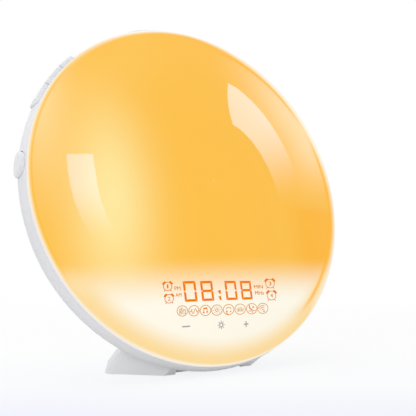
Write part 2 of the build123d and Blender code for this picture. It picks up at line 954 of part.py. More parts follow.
def rear_cover():
    inside = housing_solid(cover_wall)
    cover = housing_solid() - inside
    left, snooze = all_button_specs()
    for spec in left:
        opening = button_column(spec, button_gap, cover_radius - 9, cover_radius + 6)
        cover -= opening
        cover -= mirrored(opening)
    cover -= button_column(snooze, button_gap, cover_radius - 12, cover_radius + 6)

    additions = housing_solid(cover_wall / 2)
    posts = []
    for angle in post_angles:
        x, z = polar(post_ring, angle)
        posts.append(rod(post_radius, case_post_end(), past_back(), x, z))
    blocks = [switch_block(angle, length) for angle, length in switch_boards()[:2]]
    posts += blocks + [mirrored(block) for block in blocks]
    posts.append(switch_block(90.0, snooze_board_length()))
    seat = rod(gasket_radius, speaker_back + gasket_wall, past_back())
    seat -= rod(speaker_radius, 0, past_back())
    posts.append(around(seat, 0, speaker_z))
    for x, z in speaker_screw_places():
        posts.append(rod(speaker_boss, speaker_back, past_back(), x, z + speaker_z))
    posts.append(battery_bay())
    cover += [post & additions for post in posts]

    holes = [
        around(rod(grille_hole, speaker_back, past_back()), x, z) for x, z in grille_places()
    ]
    for angle in post_angles:
        x, z = polar(post_ring, angle)
        head_seat = back_depth(post_ring) - counterbore
        holes.append(rod(case_screw + screw_play, tray_floor, past_back(), x, z))
        holes.append(rod(case_screw * head_ratio + screw_play, head_seat, past_back(), x, z))
    for x, z in speaker_screw_places():
        end = speaker_back - flange_wall + speaker_screw_length + fit_gap
        holes.append(rod(small_screw - 0.1, speaker_back - 1, end, x, z + speaker_z))
    holes.append(rod(jack_radius - 0.6, main_back, past_back(), jack_x, socket_z))
    holes.append(rod(grommet_neck + seat_gap, main_back, past_back(), aerial_x, socket_z))
    for x in (-web_x, web_x):
        holes.append(rod(case_screw + screw_play, main_back, past_back(), x, foot_screw_z))
    cover -= holes
    return cover - bay_opening()


def case_screws():
    depth = back_depth(post_ring) - counterbore
    length = depth - tray_floor - tray_wall - 3.0
    places = [polar(post_ring, angle) for angle in post_angles]
    return group([back_screw(case_screw, length, x, depth, z) for x, z in places])


# ---- battery bay, cell and hinged door ----
def hinge_x():
    return bay_x + bay_width / 2 - door_gap - hinge_radius


def hinge_rod(radius, length):
    """A round bar along the hatch's hinge, which runs up the back beside the rim."""
    return Pos(hinge_x(), back_depth(hinge_x()) - hinge_depth, bay_z) * Cylinder(radius, length)


def battery_bay():
    """The tub that the coin cell lies in, moulded inside the cover."""
    wide = bay_width + 2 * bay_wall
    tall = bay_height + 2 * bay_wall
    return slab(wide, tall, bay_floor - bay_wall, past_back(), bay_x, bay_z)


def bay_opening():
    room = slab(bay_width, bay_height, bay_floor, past_back(), bay_x, bay_z)
    return room + hinge_rod(hinge_pin + hinge_play, bay_height + 2 * hinge_socket)


def battery_door():
    """A hatch cut from the back's own curve, turning on two stub pins beside the rim."""
    tall = bay_height - 2 * door_gap
    free_edge = bay_x - bay_width / 2 + door_gap
    wide = hinge_x() - free_edge
    plate = slab(wide, tall, bay_floor, past_back(), free_edge + wide / 2, bay_z)
    plate &= housing_solid() - housing_solid(door_wall)
    knuckle = hinge_rod(hinge_radius, tall) & housing_solid()
    pins = hinge_rod(hinge_pin, bay_height + 2 * (hinge_socket - seat_gap))
    grip_x = free_edge + grip_inset
    grip_floor = back_depth(grip_x) - grip_depth
    grip = slab(grip_width, grip_length, grip_floor, past_back(), grip_x, bay_z)
    return plate + knuckle + pins - grip


def coin_cell():
    start = bay_floor + contact_wall
    cell = rod(cell_radius, start, start + cell_height, bay_x, bay_z)
    rims = cell.edges().filter_by(GeomType.CIRCLE)
    return fillet(rims, 0.4)


def battery_contacts():
    """A flat spring plate under the cell and an upright one against its side."""
    under = slab(12, 7, bay_floor, bay_floor + contact_wall, bay_x, bay_z)
    side_x = bay_x + cell_radius + 0.2 + contact_wall / 2
    side = slab(contact_wall, 6, bay_floor, bay_floor + cell_height + 1, side_x, bay_z)
    return group([under, side])


# ---- inlet and aerial exit ----
def dc_jack():
    end = back_depth(sqrt(jack_x ** 2 + socket_z ** 2), cover_wall) - 0.4
    body = slab(jack_width, jack_width, main_back, end - 1.5, jack_x, socket_z)
    barrel = rod(jack_radius, end - 1.6, end, jack_x, socket_z)
    return body + barrel - rod(jack_bore, end - jack_depth, end + 1, jack_x, socket_z)


def jack_contact():
    """The centre pin, standing on the floor of the jack's bore."""
    end = back_depth(sqrt(jack_x ** 2 + socket_z ** 2), cover_wall) - 0.4
    pin = rod(jack_pin, end - jack_depth, end - 1.0, jack_x, socket_z)
    tip = pin.edges().sort_by(Axis.Y)[-1]
    return fillet(tip, 0.4)


def aerial_grommet():
    outer = back_depth(sqrt(aerial_x ** 2 + socket_z ** 2))
    inner = outer - cover_wall
    spread = 0.5
    grommet = turned(
        (grommet_bore, inner - 2.0), (grommet_neck + 1.0, inner - 2.0),
        (grommet_neck + 1.0, inner - spread), (grommet_neck, inner - spread),
        (grommet_neck, outer + spread), (grommet_radius, outer + spread),
        (grommet_radius - 0.6, outer + spread + 1.2), (grommet_bore, outer + spread + 1.2),
    )
    return around(grommet, aerial_x, socket_z)


# ---- foot ----
def foot_planes(inset=0.0):
    """The foot's sloping faces, moved in by inset, each with its normal outwards."""
    lift = foot_lift
    front, side = radians(front_lean), radians(side_lean)
    back, crest = radians(back_lean), radians(crest_lean)
    flank_x, flank_y = foot_wide_half - foot_front_half, foot_wide - foot_front
    flank = sqrt(flank_x ** 2 + flank_y ** 2)
    tail_x, tail_y = foot_wide_half - foot_back_half, foot_back - foot_wide
    tail = sqrt(tail_x ** 2 + tail_y ** 2)
    faces = {
        "front": ((0, foot_front, lift), (0, -cos(front), -sin(front))),
        "back": ((0, foot_back, lift), (0, cos(back), sin(back))),
        "crest": ((0, foot_wide, crest_height), (0, sin(crest), cos(crest))),
    }
    for way in (-1, 1):
        corner = (way * foot_wide_half, foot_wide, lift)
        faces[f"flank {way}"] = (corner, (way * flank_y / flank, -flank_x / flank, 0))
        out_x, out_y = tail_y / tail * cos(side), tail_x / tail * cos(side)
        faces[f"tail {way}"] = (corner, (way * out_x, out_y, sin(side)))
    return {
        name: Plane(origin=[p - inset * n for p, n in zip(point, normal)], z_dir=normal)
        for name, (point, normal) in faces.items()
    }


def shared_edges(form, *planes):
    """The edges whose ends lie in all of these planes."""
    found = []
    for edge in form.edges():
        ends = [end.center() for end in edge.vertices()]
        if all(abs(plane.to_local_coords(end).Z) < 0.01 for end in ends for plane in planes):
            found.append(edge)
    return found


def foot_form(inset=0.0):
    """The foot's outer form, with its side faces moved in by inset, before it is hollowed."""
    reach = 2 * disc_radius
    form = Pos(0, 0, foot_lift + disc_height / 2) * Box(2 * reach, 2 * reach, disc_height)
    planes = foot_planes(inset)
    for plane in planes.values():
        form = split(form, plane, keep=Keep.BOTTOM)
    rounded = shared_edges(form, planes["crest"], planes["back"])
    for way in (-1, 1):
        tail = planes[f"tail {way}"]
        for name in (f"flank {way}", "back", "crest"):
            rounded += shared_edges(form, tail, planes[name])
    form = fillet(rounded, foot_round - inset)
    return form & leaned(slab(2 * reach, 2 * reach, cover_front + 1.0, 2 * reach))


def leaned(shape):
    """From the disc's own frame to its leaning place above the foot."""
    return Pos(0, disc_back, disc_height) * Rot(-disc_lean, 0, 0) * shape


def front_recess(grow=0.0):
    """The hollow between the cheeks, under the rim."""
    half = foot_front_half - cheek_width + grow
    back = foot_front + recess_depth + grow
    return Pos(0, back - disc_radius / 2, 0) * Box(2 * half, disc_radius, 2 * recess_height)


def base_top():
    return foot_lift + base_rise + base_wall


def foot():
    outer = foot_form()
    hollow = foot_form(foot_wall) - front_recess(foot_wall)
    shell = outer - hollow - front_recess()
    core = foot_form(foot_wall / 2) - front_recess(foot_wall / 2)
    reach = 4 * disc_radius
    above = Pos(0, 0, base_top() + disc_height / 2) * Box(reach, reach, disc_height)
    for x in (-web_x, web_x):
        web = Pos(x, 0, 0) * Box(web_wall, reach, reach)
        boss = leaned(rod(foot_boss_radius, main_back, past_back(), x, foot_screw_z))
        for y in base_screw_y:
            boss += Pos(x, y, base_boss_top / 2) * Cylinder(base_boss_radius, base_boss_top)
        shell += (web + boss) & core & above
    for x in (-web_x, web_x):
        shell -= leaned(rod(case_screw - 0.15, main_back, past_back(), x, foot_screw_z))
        for y in base_screw_y:
            pilot = base_screw_seat() + base_screw_length + 1.0
            shell -= Pos(x, y, pilot / 2) * Cylinder(small_screw - 0.1, pilot)
    return shell - leaned(housing_solid(-seat_gap))


def base_plate():
    low = foot_lift + base_rise
    sheet = Pos(0, 0, low + base_wall / 2) * Box(4 * disc_radius, 4 * disc_radius, base_wall)
    plate = foot_form(foot_wall + 0.2) & sheet
    plate -= front_recess(foot_wall + 0.2)
    for x, y in pad_spots():
        plate -= Pos(x, y, 0) * Cylinder(pad_radius + seat_gap, 2 * pad_wall)
    for x in (-web_x, web_x):
        for y in base_screw_y:
            plate -= Pos(x, y, low) * Cylinder(small_screw + screw_play, 3 * base_wall)
            plate -= Pos(x, y, low) * Cylinder(small_screw * head_ratio + screw_play, 2 * head_sink)
    return plate


def pad_spots():
    return [(way * x, y) for x, y in pad_places for way in (-1, 1)]


def rubber_feet():
    pads = []
    for x, y in pad_spots():
        pad = Pos(x, y, pad_wall / 2) * Cylinder(pad_radius, pad_wall)
        pads.append(chamfer(pad.edges().sort_by(Axis.Z)[0], 0.3))
    return group(pads)


def base_screw_seat():
    return foot_lift + base_rise + head_sink


def base_screws():
    return group([
        Pos(x, y, base_screw_seat()) * Rot(180, 0, 0) * screw(small_screw, base_screw_length)
        for x in (-web_x, web_x) for y in base_screw_y
    ])


def foot_screws():
    """Driven from inside the cover through its wall into the foot's bosses."""
    reach = sqrt(web_x ** 2 + foot_screw_z ** 2)
    inner = back_depth(reach, cover_wall) - seat_gap - 0.4
    return group([
        Pos(x, inner, foot_screw_z) * Rot(90, 0, 0) * screw(case_screw, 8.0)
        for x in (-web_x, web_x)
    ])


# ---- the assembly ----
lens = front_lens()
lens_front = leaned(lens).bounding_box().min.Y
centring = Pos(0, -(lens_front + foot_back) / 2, 0)

disc_parts = {
    "front_lens": lens,
    "reflector_tray": reflector_tray(),
    "light_board": light_board(),
    "light_leds": light_leds(),
    "display_film": display_film(),
    "display_frame": display_frame(),
    "display_leds": display_leds(),
    "display_board": display_board(),
    "display_ribbon": display_ribbon(),
    "light_lead": light_lead(),
    "touch_pads": touch_pads(),
    "main_board": main_board(),
    "board_screws": board_screws(),
    "control_chip": control_chip(),
    "radio_module": radio_module(),
    "capacitors": capacitors(),
    "board_sockets": board_sockets(),
    "speaker_lead": speaker_lead(),
    "speaker_frame": speaker_frame(),
    "speaker_magnet": speaker_magnet(),
    "speaker_cone": speaker_cone(),
    "speaker_surround": speaker_surround(),
    "speaker_gasket": speaker_gasket(),
    "speaker_screws": speaker_screws(),
    "tact_switches": tact_switches(),
    "oval_switch_boards": oval_boards(),
    "key_switch_boards": key_boards(),
    "snooze_switch_board": snooze_board(),
    "switch_screws": switch_screws(),
    "rear_cover": rear_cover(),
    "case_screws": case_screws(),
    "foot_screws": foot_screws(),
    "battery_door": battery_door(),
    "coin_cell": coin_cell(),
    "battery_contacts": battery_contacts(),
    "dc_jack": dc_jack(),
    "jack_contact": jack_contact(),
    "aerial_grommet": aerial_grommet(),
}

side_buttons = {"oval": oval_spec()}
side_buttons.update(zip(("key_lower", "key_middle", "key_upper"), key_specs()))
for name, spec in side_buttons.items():
    cap, pin = button(spec), plunger(spec)
    disc_parts[f"left_{name}"] = cap
    disc_parts[f"left_{name}_plunger"] = pin
    disc_parts[f"right_{name}"] = mirrored(cap)
    disc_parts[f"right_{name}_plunger"] = mirrored(pin)
disc_parts["snooze_bar"] = button(snooze_spec())
disc_parts["snooze_plungers"] = plunger(snooze_spec())

ground_parts = {
    "foot": foot(),
    "base_plate": base_plate(),
    "rubber_feet": rubber_feet(),
    "base_screws": base_screws(),
}

os.makedirs("parts", exist_ok=True)
for name, shape in disc_parts.items():
    export_step(centring * leaned(shape), f"parts/{name}.step")
for name, shape in ground_parts.items():
    export_step(centring * shape, f"parts/{name}.step")
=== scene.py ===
from math import cos, pi, radians, sin, tan

import bmesh
import bpy
from mathutils import Matrix, Vector


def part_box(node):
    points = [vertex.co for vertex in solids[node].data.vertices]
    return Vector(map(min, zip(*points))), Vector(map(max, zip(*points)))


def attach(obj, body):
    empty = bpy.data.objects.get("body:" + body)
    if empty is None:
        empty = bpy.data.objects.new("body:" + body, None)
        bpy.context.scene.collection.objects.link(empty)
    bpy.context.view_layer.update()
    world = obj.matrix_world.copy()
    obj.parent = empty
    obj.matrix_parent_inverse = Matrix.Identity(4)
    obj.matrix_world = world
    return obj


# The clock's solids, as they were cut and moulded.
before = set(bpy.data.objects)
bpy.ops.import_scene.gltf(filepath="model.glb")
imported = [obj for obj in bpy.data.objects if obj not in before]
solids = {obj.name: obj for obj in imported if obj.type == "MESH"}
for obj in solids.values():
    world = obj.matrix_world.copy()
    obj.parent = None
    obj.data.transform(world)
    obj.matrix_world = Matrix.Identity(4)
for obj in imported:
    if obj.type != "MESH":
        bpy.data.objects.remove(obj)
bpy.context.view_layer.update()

# ---- the disc's own place ----
# The lit disc leans back on its foot. Its axis meets the plane of the lens edge
# at one point, and most pieces are laid out from there, right, back and up.
lean = radians(14.0)
edge_depth = 0.0006          # the lens is widest this far behind the edge plane
foot_reach = 0.071           # from the line where that plane meets the table to the foot's end
lens_low, lens_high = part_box("front_lens")
foot_low, foot_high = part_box("foot")
disc_radius = (lens_high.x - lens_low.x) / 2
disc_height = lens_high.z - disc_radius * cos(lean) + edge_depth * sin(lean)
disc_centre = Vector((0.0, foot_high.y - foot_reach + disc_height * tan(lean), disc_height))
disc_turn = Matrix.Translation(disc_centre) @ Matrix.Rotation(-lean, 4, "X")


# ---- table top and backdrop ----
# A smooth white sheet of coated board that the clock stands on. It runs on to
# where it fades, and stays pale so that the clock's own shadow still shows.
class Wire:
    """One socket in a node tree; sums and products written with it add Math nodes."""

    def __init__(self, tree, socket=None):
        self.tree = tree
        self.socket = socket

    def node(self, kind, inputs=None, output=0, **settings):
        """A new node of this kind: its settings, then values or links for its sockets."""
        made = self.tree.nodes.new(kind)
        for name, value in settings.items():
            setattr(made, name, value)
        for key, given in (inputs or {}).items():
            for value in given if isinstance(given, list) else [given]:
                if isinstance(value, Wire):
                    self.tree.links.new(value.socket, made.inputs[key])
                else:
                    made.inputs[key].default_value = value
        return Wire(self.tree, made.outputs[output])

    def math(self, operation, *values):
        return self.node("ShaderNodeMath", dict(enumerate(values)), operation=operation)

    def blend(self, factor, first, second):
        """From the first colour to the second as the factor goes from 0 to 1."""
        return self.node(
            "ShaderNodeMix", {0: factor, 6: first, 7: second}, output=2, data_type="RGBA"
        )

    def step(self, value, start, end):
        """0 below the start, 1 above the end, and smooth between them."""
        return self.node(
            "ShaderNodeMapRange", {0: value, 1: start, 2: end},
            interpolation_type="SMOOTHSTEP",
        )

    def noise(self, place, scale, detail=2.0):
        """A cloud of values round 0.5, finer as the scale grows."""
        return self.node(
            "ShaderNodeTexNoise", {"Vector": place, "Scale": scale, "Detail": detail}
        )

    def __add__(self, other):
        return self.math("ADD", self, other)

    __radd__ = __add__

    def __sub__(self, other):
        return self.math("SUBTRACT", self, other)

    def __rsub__(self, other):
        return self.math("SUBTRACT", other, self)

    def __mul__(self, other):
        return self.math("MULTIPLY", self, other)

    __rmul__ = __mul__

    def __truediv__(self, other):
        return self.math("DIVIDE", self, other)


def new_material(name):
    """An empty material, a wire for adding nodes to it, and its output node."""
    material = bpy.data.materials.new(name)
    material.use_nodes = True
    material.node_tree.nodes.clear()
    out = material.node_tree.nodes.new("ShaderNodeOutputMaterial")
    return material, Wire(material.node_tree), out


def tint(red, green, blue):
    """A colour as a screen shows it, 0 to 255, turned into amounts of light."""
    shares = [part / 255 for part in (red, green, blue)]
    light = [s / 12.92 if s < 0.04045 else ((s + 0.055) / 1.055) ** 2.4 for s in shares]
    return (*light, 1.0)


def flat_sheet(name, corners):
    """One four-cornered sheet of mesh."""
    mesh = bpy.data.meshes.new(name)
    mesh.from_pydata(corners, [], [(0, 1, 2, 3)])
    sheet = bpy.data.objects.new(name, mesh)
    bpy.context.scene.collection.objects.link(sheet)
    return sheet


table_reach = 6.0
table = flat_sheet("table_top", [
    (-table_reach, -table_reach, 0), (table_reach, -table_reach, 0),
    (table_reach, table_reach, 0), (-table_reach, table_reach, 0),
])
white_board, wire, out = new_material("white_board")
place = wire.node("ShaderNodeTexCoord", output="Object")
parts = wire.tree.nodes.new("ShaderNodeSeparateXYZ")
wire.tree.links.new(place.socket, parts.inputs[0])
east, north = [Wire(wire.tree, parts.outputs[name]) for name in ("X", "Y")]
away_east, away_north = 0.53, 0.848      # the way the board runs off from the viewer
inward = east * away_east + north * away_north
near_tone = wire.blend(
    wire.step(inward, -0.115, -0.045), tint(243, 245, 254), tint(252, 253, 255)
)
board_tone = wire.blend(wire.step(inward, -0.05, 0.06), near_tone, (1, 1, 1, 1))
kept_shadow = 0.13
shadow_share = (1.0 - wire.step(inward, 0.1, 0.5)) * kept_shadow
shown = wire.node("ShaderNodeMixShader", {
    0: shadow_share,
    1: wire.node("ShaderNodeEmission", {"Color": board_tone}),
    2: wire.node("ShaderNodeBsdfDiffuse", {"Color": board_tone}),
})
bounce = wire.node("ShaderNodeBsdfDiffuse", {"Color": tint(232, 232, 234)})


def looked_at(wire):
    """1 for rays from the viewer, also through gloss or clear pieces, and 0 for light."""
    rays = wire.tree.nodes.new("ShaderNodeLightPath")
    kinds = [Wire(wire.tree, rays.outputs[f"Is {kind} Ray"])
             for kind in ("Camera", "Glossy", "Transmission")]
    return wire.math("MAXIMUM", wire.math("MAXIMUM", kinds[0], kinds[1]), kinds[2])


whole = wire.node("ShaderNodeMixShader", {0: looked_at(wire), 1: bounce, 2: shown})
wire.tree.links.new(whole.socket, out.inputs["Surface"])
table.data.materials.append(white_board)


# ---- studio light ----
# Daylight from every side at a low level, one wide soft lamp over the clock and
# two low ones, to the left of the viewer and beside it, that reach the foot.
world = bpy.data.worlds.new("studio")
bpy.context.scene.world = world
world.use_nodes = True
world.node_tree.nodes.clear()
sky = Wire(world.node_tree)
sky_level = 0.5
level = looked_at(sky) * (1.0 - sky_level) + sky_level
shine = sky.node("ShaderNodeBackground", {"Color": (1, 1, 1, 1), "Strength": level})
out = world.node_tree.nodes.new("ShaderNodeOutputWorld")
world.node_tree.links.new(shine.socket, out.inputs["Surface"])


def soft_lamp(name, place, aim, size, watts):
    """A square lamp at a place, turned towards a point, that leaves no spot in the gloss."""
    data = bpy.data.lights.new(name, "AREA")
    data.size = size
    data.energy = watts
    lamp = bpy.data.objects.new(name, data)
    lamp.location = place
    lamp.rotation_euler = (Vector(aim) - Vector(place)).to_track_quat("-Z", "Y").to_euler()
    lamp.visible_glossy = False
    bpy.context.scene.collection.objects.link(lamp)


soft_lamp("overhead_lamp", (-0.3, 0.1, 1.6), (0, 0, 0.09), 1.4, 11.0)
soft_lamp("left_lamp", (-1.3, -0.5, 0.5), (0, 0, 0.06), 0.9, 3.0)
soft_lamp("front_lamp", (-0.35, -1.3, 0.16), (0, 0, 0.03), 0.7, 3.6)


# ---- window light in the gloss ----
# Two tall windows and one wide pale blind stand to the side of the viewer. Only
# shiny surfaces show them, as bright bars that fade out downwards.
def bearing(across, above, distance):
    """A point seen from the disc's centre: degrees to the right of straight ahead, and up."""
    turn, rise = radians(across), radians(above)
    return disc_centre + distance * Vector((
        sin(turn) * cos(rise), -cos(turn) * cos(rise), sin(rise),
    ))


def window(name, corners, distance, daylight, fades_up, fade_across=None):
    """A pane between bearings, whose daylight grows out of the white room's own.

    Each pair in fades_up runs from none to all of it, by how high the bearing is.
    """
    mesh = bpy.data.meshes.new(name)
    points = [bearing(across, above, distance) for across, above in corners]
    mesh.from_pydata(points, [], [tuple(range(len(points)))])
    pane = bpy.data.objects.new(name, mesh)
    bpy.context.scene.collection.objects.link(pane)
    glow, wire, out = new_material(name + "_glow")
    place = wire.node("ShaderNodeTexCoord", output="Object")
    parts = wire.tree.nodes.new("ShaderNodeSeparateXYZ")
    wire.tree.links.new(place.socket, parts.inputs[0])
    east, north, height = [Wire(wire.tree, socket) for socket in parts.outputs]
    reach = wire.math("SQRT", east * east + north * north)
    rise = wire.math("ARCTAN2", height - disc_centre.z, reach)
    amount = 1.0
    for none, all_of_it in fades_up:
        amount = amount * wire.step(rise, radians(none), radians(all_of_it))
    if fade_across:
        turn = wire.math("ARCTAN2", east - disc_centre.x, disc_centre.y - north)
        amount = amount * wire.step(turn, radians(fade_across[0]), radians(fade_across[1]))
    light = wire.node("ShaderNodeEmission", {
        "Color": wire.blend(amount, (1, 1, 1, 1), (*daylight, 1.0)),
    })
    wire.tree.links.new(light.socket, out.inputs["Surface"])
    mesh.materials.append(glow)
    pane.visible_camera = False
    pane.visible_diffuse = False
    pane.visible_shadow = False
    pane.visible_transmission = False


window_distance = 4.0
blind_distance = 8.0
window("left_window", [
    (-4.1, 38.7), (3.5, 38.6), (3.4, 35.0), (3.4, 31.1), (3.8, 27.2), (4.9, 23.3), (7.0, 17.0),
    (1.3, 17.0), (-1.9, 23.5), (-3.1, 27.3), (-3.85, 31.2), (-4.15, 35.2),
], window_distance, (4.0, 4.4, 8.5), [(17.0, 33.0)])
window("right_window", [
    (64.3, 47.3), (66.0, 45.6), (66.9, 43.6), (67.7, 41.0), (68.1, 38.6), (68.1, 36.0),
    (67.8, 31.2), (67.3, 28.8), (66.8, 26.7), (66.0, 24.7), (64.4, 21.4), (63.9, 20.0),
    (56.8, 20.0), (57.1, 23.8), (57.5, 28.0), (57.4, 30.1), (57.2, 32.4), (56.7, 34.8),
    (55.8, 36.8), (54.9, 38.3), (53.6, 39.5), (55.2, 41.8), (57.1, 43.6), (59.6, 45.3),
    (61.7, 46.3),
], window_distance, (4.0, 5.3, 8.4), [(19.5, 38.5)])
window("pale_blind", [
    (58.0, 14.0), (58.0, 62.0), (104.0, 62.0), (104.0, 14.0),
], blind_distance, (3.0, 3.3, 4.3), [(17.0, 28.5), (55.0, 34.0)], (58.0, 78.0))


# ---- camera ----
# The viewer stands a little below the disc's centre and well to the left, close
# enough for the near edge of the disc to look larger than the far one.
eye = bpy.data.cameras.new("camera")
eye.sensor_width = 36.0
eye.lens = 56.25
camera = bpy.data.objects.new("camera", eye)
from_disc = Vector((-0.17367, -0.28456, -0.03114))
turned_right, tipped_up, rolled = -32.005, 93.536, -0.109
camera.location = disc_centre + from_disc
camera.rotation_euler = (
    Matrix.Rotation(radians(turned_right), 4, "Z")
    @ Matrix.Rotation(radians(tipped_up), 4, "X")
    @ Matrix.Rotation(radians(rolled), 4, "Z")
).to_euler()
bpy.context.scene.collection.objects.link(camera)
bpy.context.scene.camera = camera


# ---- front lens ----
# Milky acrylic, injection moulded as one dome with a stepped lip and polished
# outside. The lamps behind it light it amber, and yellower where they are
# strongest; the display's own chamber, low in the disc, stays white.
def disc_place(wire):
    """Right, back and up from the disc's centre in millimetres, as three wires."""
    place = wire.node("ShaderNodeTexCoord", output="Object")
    turned = wire.node("ShaderNodeMapping", {
        "Vector": place, "Location": disc_centre, "Rotation": (-lean, 0, 0),
        "Scale": (0.001, 0.001, 0.001),
    }, vector_type="TEXTURE")
    parts = wire.tree.nodes.new("ShaderNodeSeparateXYZ")
    wire.tree.links.new(turned.socket, parts.inputs[0])
    return [Wire(wire.tree, socket) for socket in parts.outputs]


def hump(wire, value, middle, spread):
    """1 at the middle, falling smoothly to nothing on both sides."""
    reach = (value - middle) / spread
    return wire.math("POWER", 0.5, reach * reach)


room_veil = (0.045, 0.045, 0.045)       # what the polish adds of a white room


def lit(red, green, blue):
    """The acrylic's own light where it should look like this colour under its polish."""
    seen = tint(red, green, blue)
    return (*[max(part - veil, 0.0) for part, veil in zip(seen, room_veil)], 1.0)


lens_acrylic, wire, out = new_material("lens_acrylic")
across, behind, up = disc_place(wire)
down = 0.0 - up
radius = wire.math("SQRT", across * across + up * up)
glow = wire.blend(
    wire.step(up, 42.7, 63.6) * hump(wire, across, -31.0, 13.2),
    lit(252, 193, 79), lit(252, 196, 87),
)
# Painted shade: a deeper amber patch low on the right of the dome.
low_right_shade = wire.step(across, 40.6, 62.9) * wire.step(down, 5.7, 15.5)
glow = wire.blend(low_right_shade, glow, lit(253, 185, 52))
lamp_spot = hump(wire, across, -53.9, 16.0) * hump(wire, up, -11.3, 39.8)
glow = wire.blend(lamp_spot, glow, lit(254, 232, 160))
left_edge = hump(wire, across, -85.1, 11.7) * wire.step(up, -31.4, 57.4)
glow = wire.blend(left_edge, glow, lit(254, 223, 160))
glow = wire.blend(wire.step(down, 37.9, 61.9), glow, lit(254, 249, 233))
glow = wire.blend(
    wire.step(radius, 75.9, 87.7) * wire.step(down, 38.9, 56.1), glow, lit(252, 221, 159)
)
right_lip = wire.step(across, 0.0, 42.0) * wire.step(up, -72.0, -58.0)
left_lip = 1.0 - right_lip
# Painted reflection of the white room on the rolled lip: a pale ring, wider on the right and at
# the upper left, whitest towards the top and more amber towards the left.
lip_radius = 88.5
wider_up_left, wider_right = 1.9, 4.1
lip_start = (
    lip_radius - left_lip * wire.step(up, 30.0, 75.0) * wider_up_left - right_lip * wider_right
)
lip_reflection_tone = wire.blend(wire.step(up, 58.0, 88.0), lit(251, 239, 215), lit(254, 252, 247))
lip_reflection_tone = wire.blend(wire.step(across, -20.0, -80.0), lip_reflection_tone, lit(252, 217, 152))
glow = wire.blend(wire.step(radius, lip_start, 89.4), glow, lip_reflection_tone)
# Painted shade: a darker amber line in the groove inside the lip, on the left.
groove_shade_strength = 0.8
groove_shade = (
    hump(wire, radius, 88.4, 0.33) * wire.step(up, -35.0, -5.0) * wire.step(across, -62.0, -76.0)
)
glow = wire.blend(groove_shade * groove_shade_strength, glow, lit(252, 192, 76))
shade_line = hump(wire, radius, 83.9, 0.95) * right_lip * (1.0 - hump(wire, up, 38.0, 10.0))
shade_depth, shade_dulls = 0.9, 0.85     # how far it darkens the glow and dulls the polish
glow = wire.blend(shade_line * shade_depth, glow, lit(253, 184, 50))
white_edge = wire.step(radius, 89.0, 90.05) * left_lip
glow = wire.blend(white_edge, glow, lit(248, 240, 228))
# The lens's side wall behind the edge plane turns pale grey, mostly as a painted glow standing in
# for studio light on it, since the lamps inside do not reach it.
glow = wire.blend(wire.step(behind, 0.5, 0.8), glow, lit(226, 226, 229))
haze = wire.noise(wire.node("ShaderNodeTexCoord", output="Object"), 16.0, 1.0)
# At the dome's pole, and along the shade line, the polish is taken off, and the room's reflection
# that it would add is painted into the glow instead.
pole_painted_reflection = 1.0 - wire.step(radius, 0.6, 1.3)
polish = (1.0 - pole_painted_reflection) * (1.0 - shade_line * shade_dulls)
surface_share = 0.22
glow_share = 0.865
haze_depth = 0.04
body = wire.node("ShaderNodeBsdfPrincipled", {
    "Base Color": wire.blend(
        (haze - 0.5) * haze_depth + (1.0 - surface_share), glow, (0, 0, 0, 1)
    ),
    "Roughness": 0.5,
    "Specular IOR Level": 0.0,
    # The glow, plus a painted reflection of the room where the polish is taken off.
    "Emission Color": wire.node("ShaderNodeMix", {
        0: 1.0 - polish, 6: wire.blend(1.0 - glow_share, glow, (0, 0, 0, 1)),
        7: (*room_veil, 1.0),
    }, output=2, data_type="RGBA", blend_type="ADD"),
    "Emission Strength": 1.0,
    "Coat Weight": polish,
    "Coat Roughness": 0.03,
    "Coat IOR": 1.49,
})
wire.tree.links.new(body.socket, out.inputs["Surface"])


def dress(material, *nodes):
    """Give solids that keep their own shape a finish."""
    for node in nodes:
        slots = solids[node].data.materials
        slots.clear()
        slots.append(material)


dress(lens_acrylic, "front_lens")


# ---- clock digits ----
# Amber segments that shine through the acrylic, a hair proud of it, as on a
# printed window: four figures that lean back to the left, and a slanted colon.
marks = bpy.data.node_groups.new("marks_on_a_surface", "GeometryNodeTree")
mark_inputs = (
    ("Marks", "NodeSocketGeometry"), ("Carrier", "NodeSocketObject"),
    ("Line width", "NodeSocketFloat"), ("Thickness", "NodeSocketFloat"),
    ("Sink", "NodeSocketFloat"), ("Slant", "NodeSocketFloat"),
    ("Slant height", "NodeSocketFloat"), ("Tilt", "NodeSocketFloat"),
    ("Start", "NodeSocketVector"), ("One across", "NodeSocketVector"),
    ("One up", "NodeSocketVector"), ("Towards surface", "NodeSocketVector"),
    ("Finish", "NodeSocketMaterial"),
)
for name, kind in mark_inputs:
    marks.interface.new_socket(name, in_out="INPUT", socket_type=kind)
marks.interface.new_socket("Marks", in_out="OUTPUT", socket_type="NodeSocketGeometry")
sizes = marks.nodes.new("NodeGroupInput")
drawn = {name: Wire(marks, sizes.outputs[name]) for name, kind in mark_inputs}
wire = Wire(marks)
lone = wire.math("LESS_THAN", wire.node("GeometryNodeInputMeshEdgeNeighbors"), 0.5)
lines = wire.node("GeometryNodeMeshToCurve", {"Mesh": drawn["Marks"], "Selection": lone})
lines = wire.node("GeometryNodeSetCurveNormal", {"Curve": lines}, mode="Z_UP")
section = wire.node("GeometryNodeCurvePrimitiveQuadrilateral", {
    "Width": drawn["Line width"], "Height": drawn["Thickness"],
})
bars = wire.node("GeometryNodeCurveToMesh", {
    "Curve": lines, "Profile Curve": section, "Fill Caps": True,
})
bars = wire.node("GeometryNodeTransform", {
    "Geometry": bars,
    "Translation": wire.node("ShaderNodeCombineXYZ", {"Z": drawn["Thickness"] * 0.5}),
})
fills = wire.node("GeometryNodeDeleteGeometry", {
    "Geometry": drawn["Marks"], "Selection": lone,
}, domain="EDGE", mode="ALL")
risen = wire.node("GeometryNodeExtrudeMesh", {
    "Mesh": fills, "Offset Scale": drawn["Thickness"], "Individual": False,
}, mode="FACES")
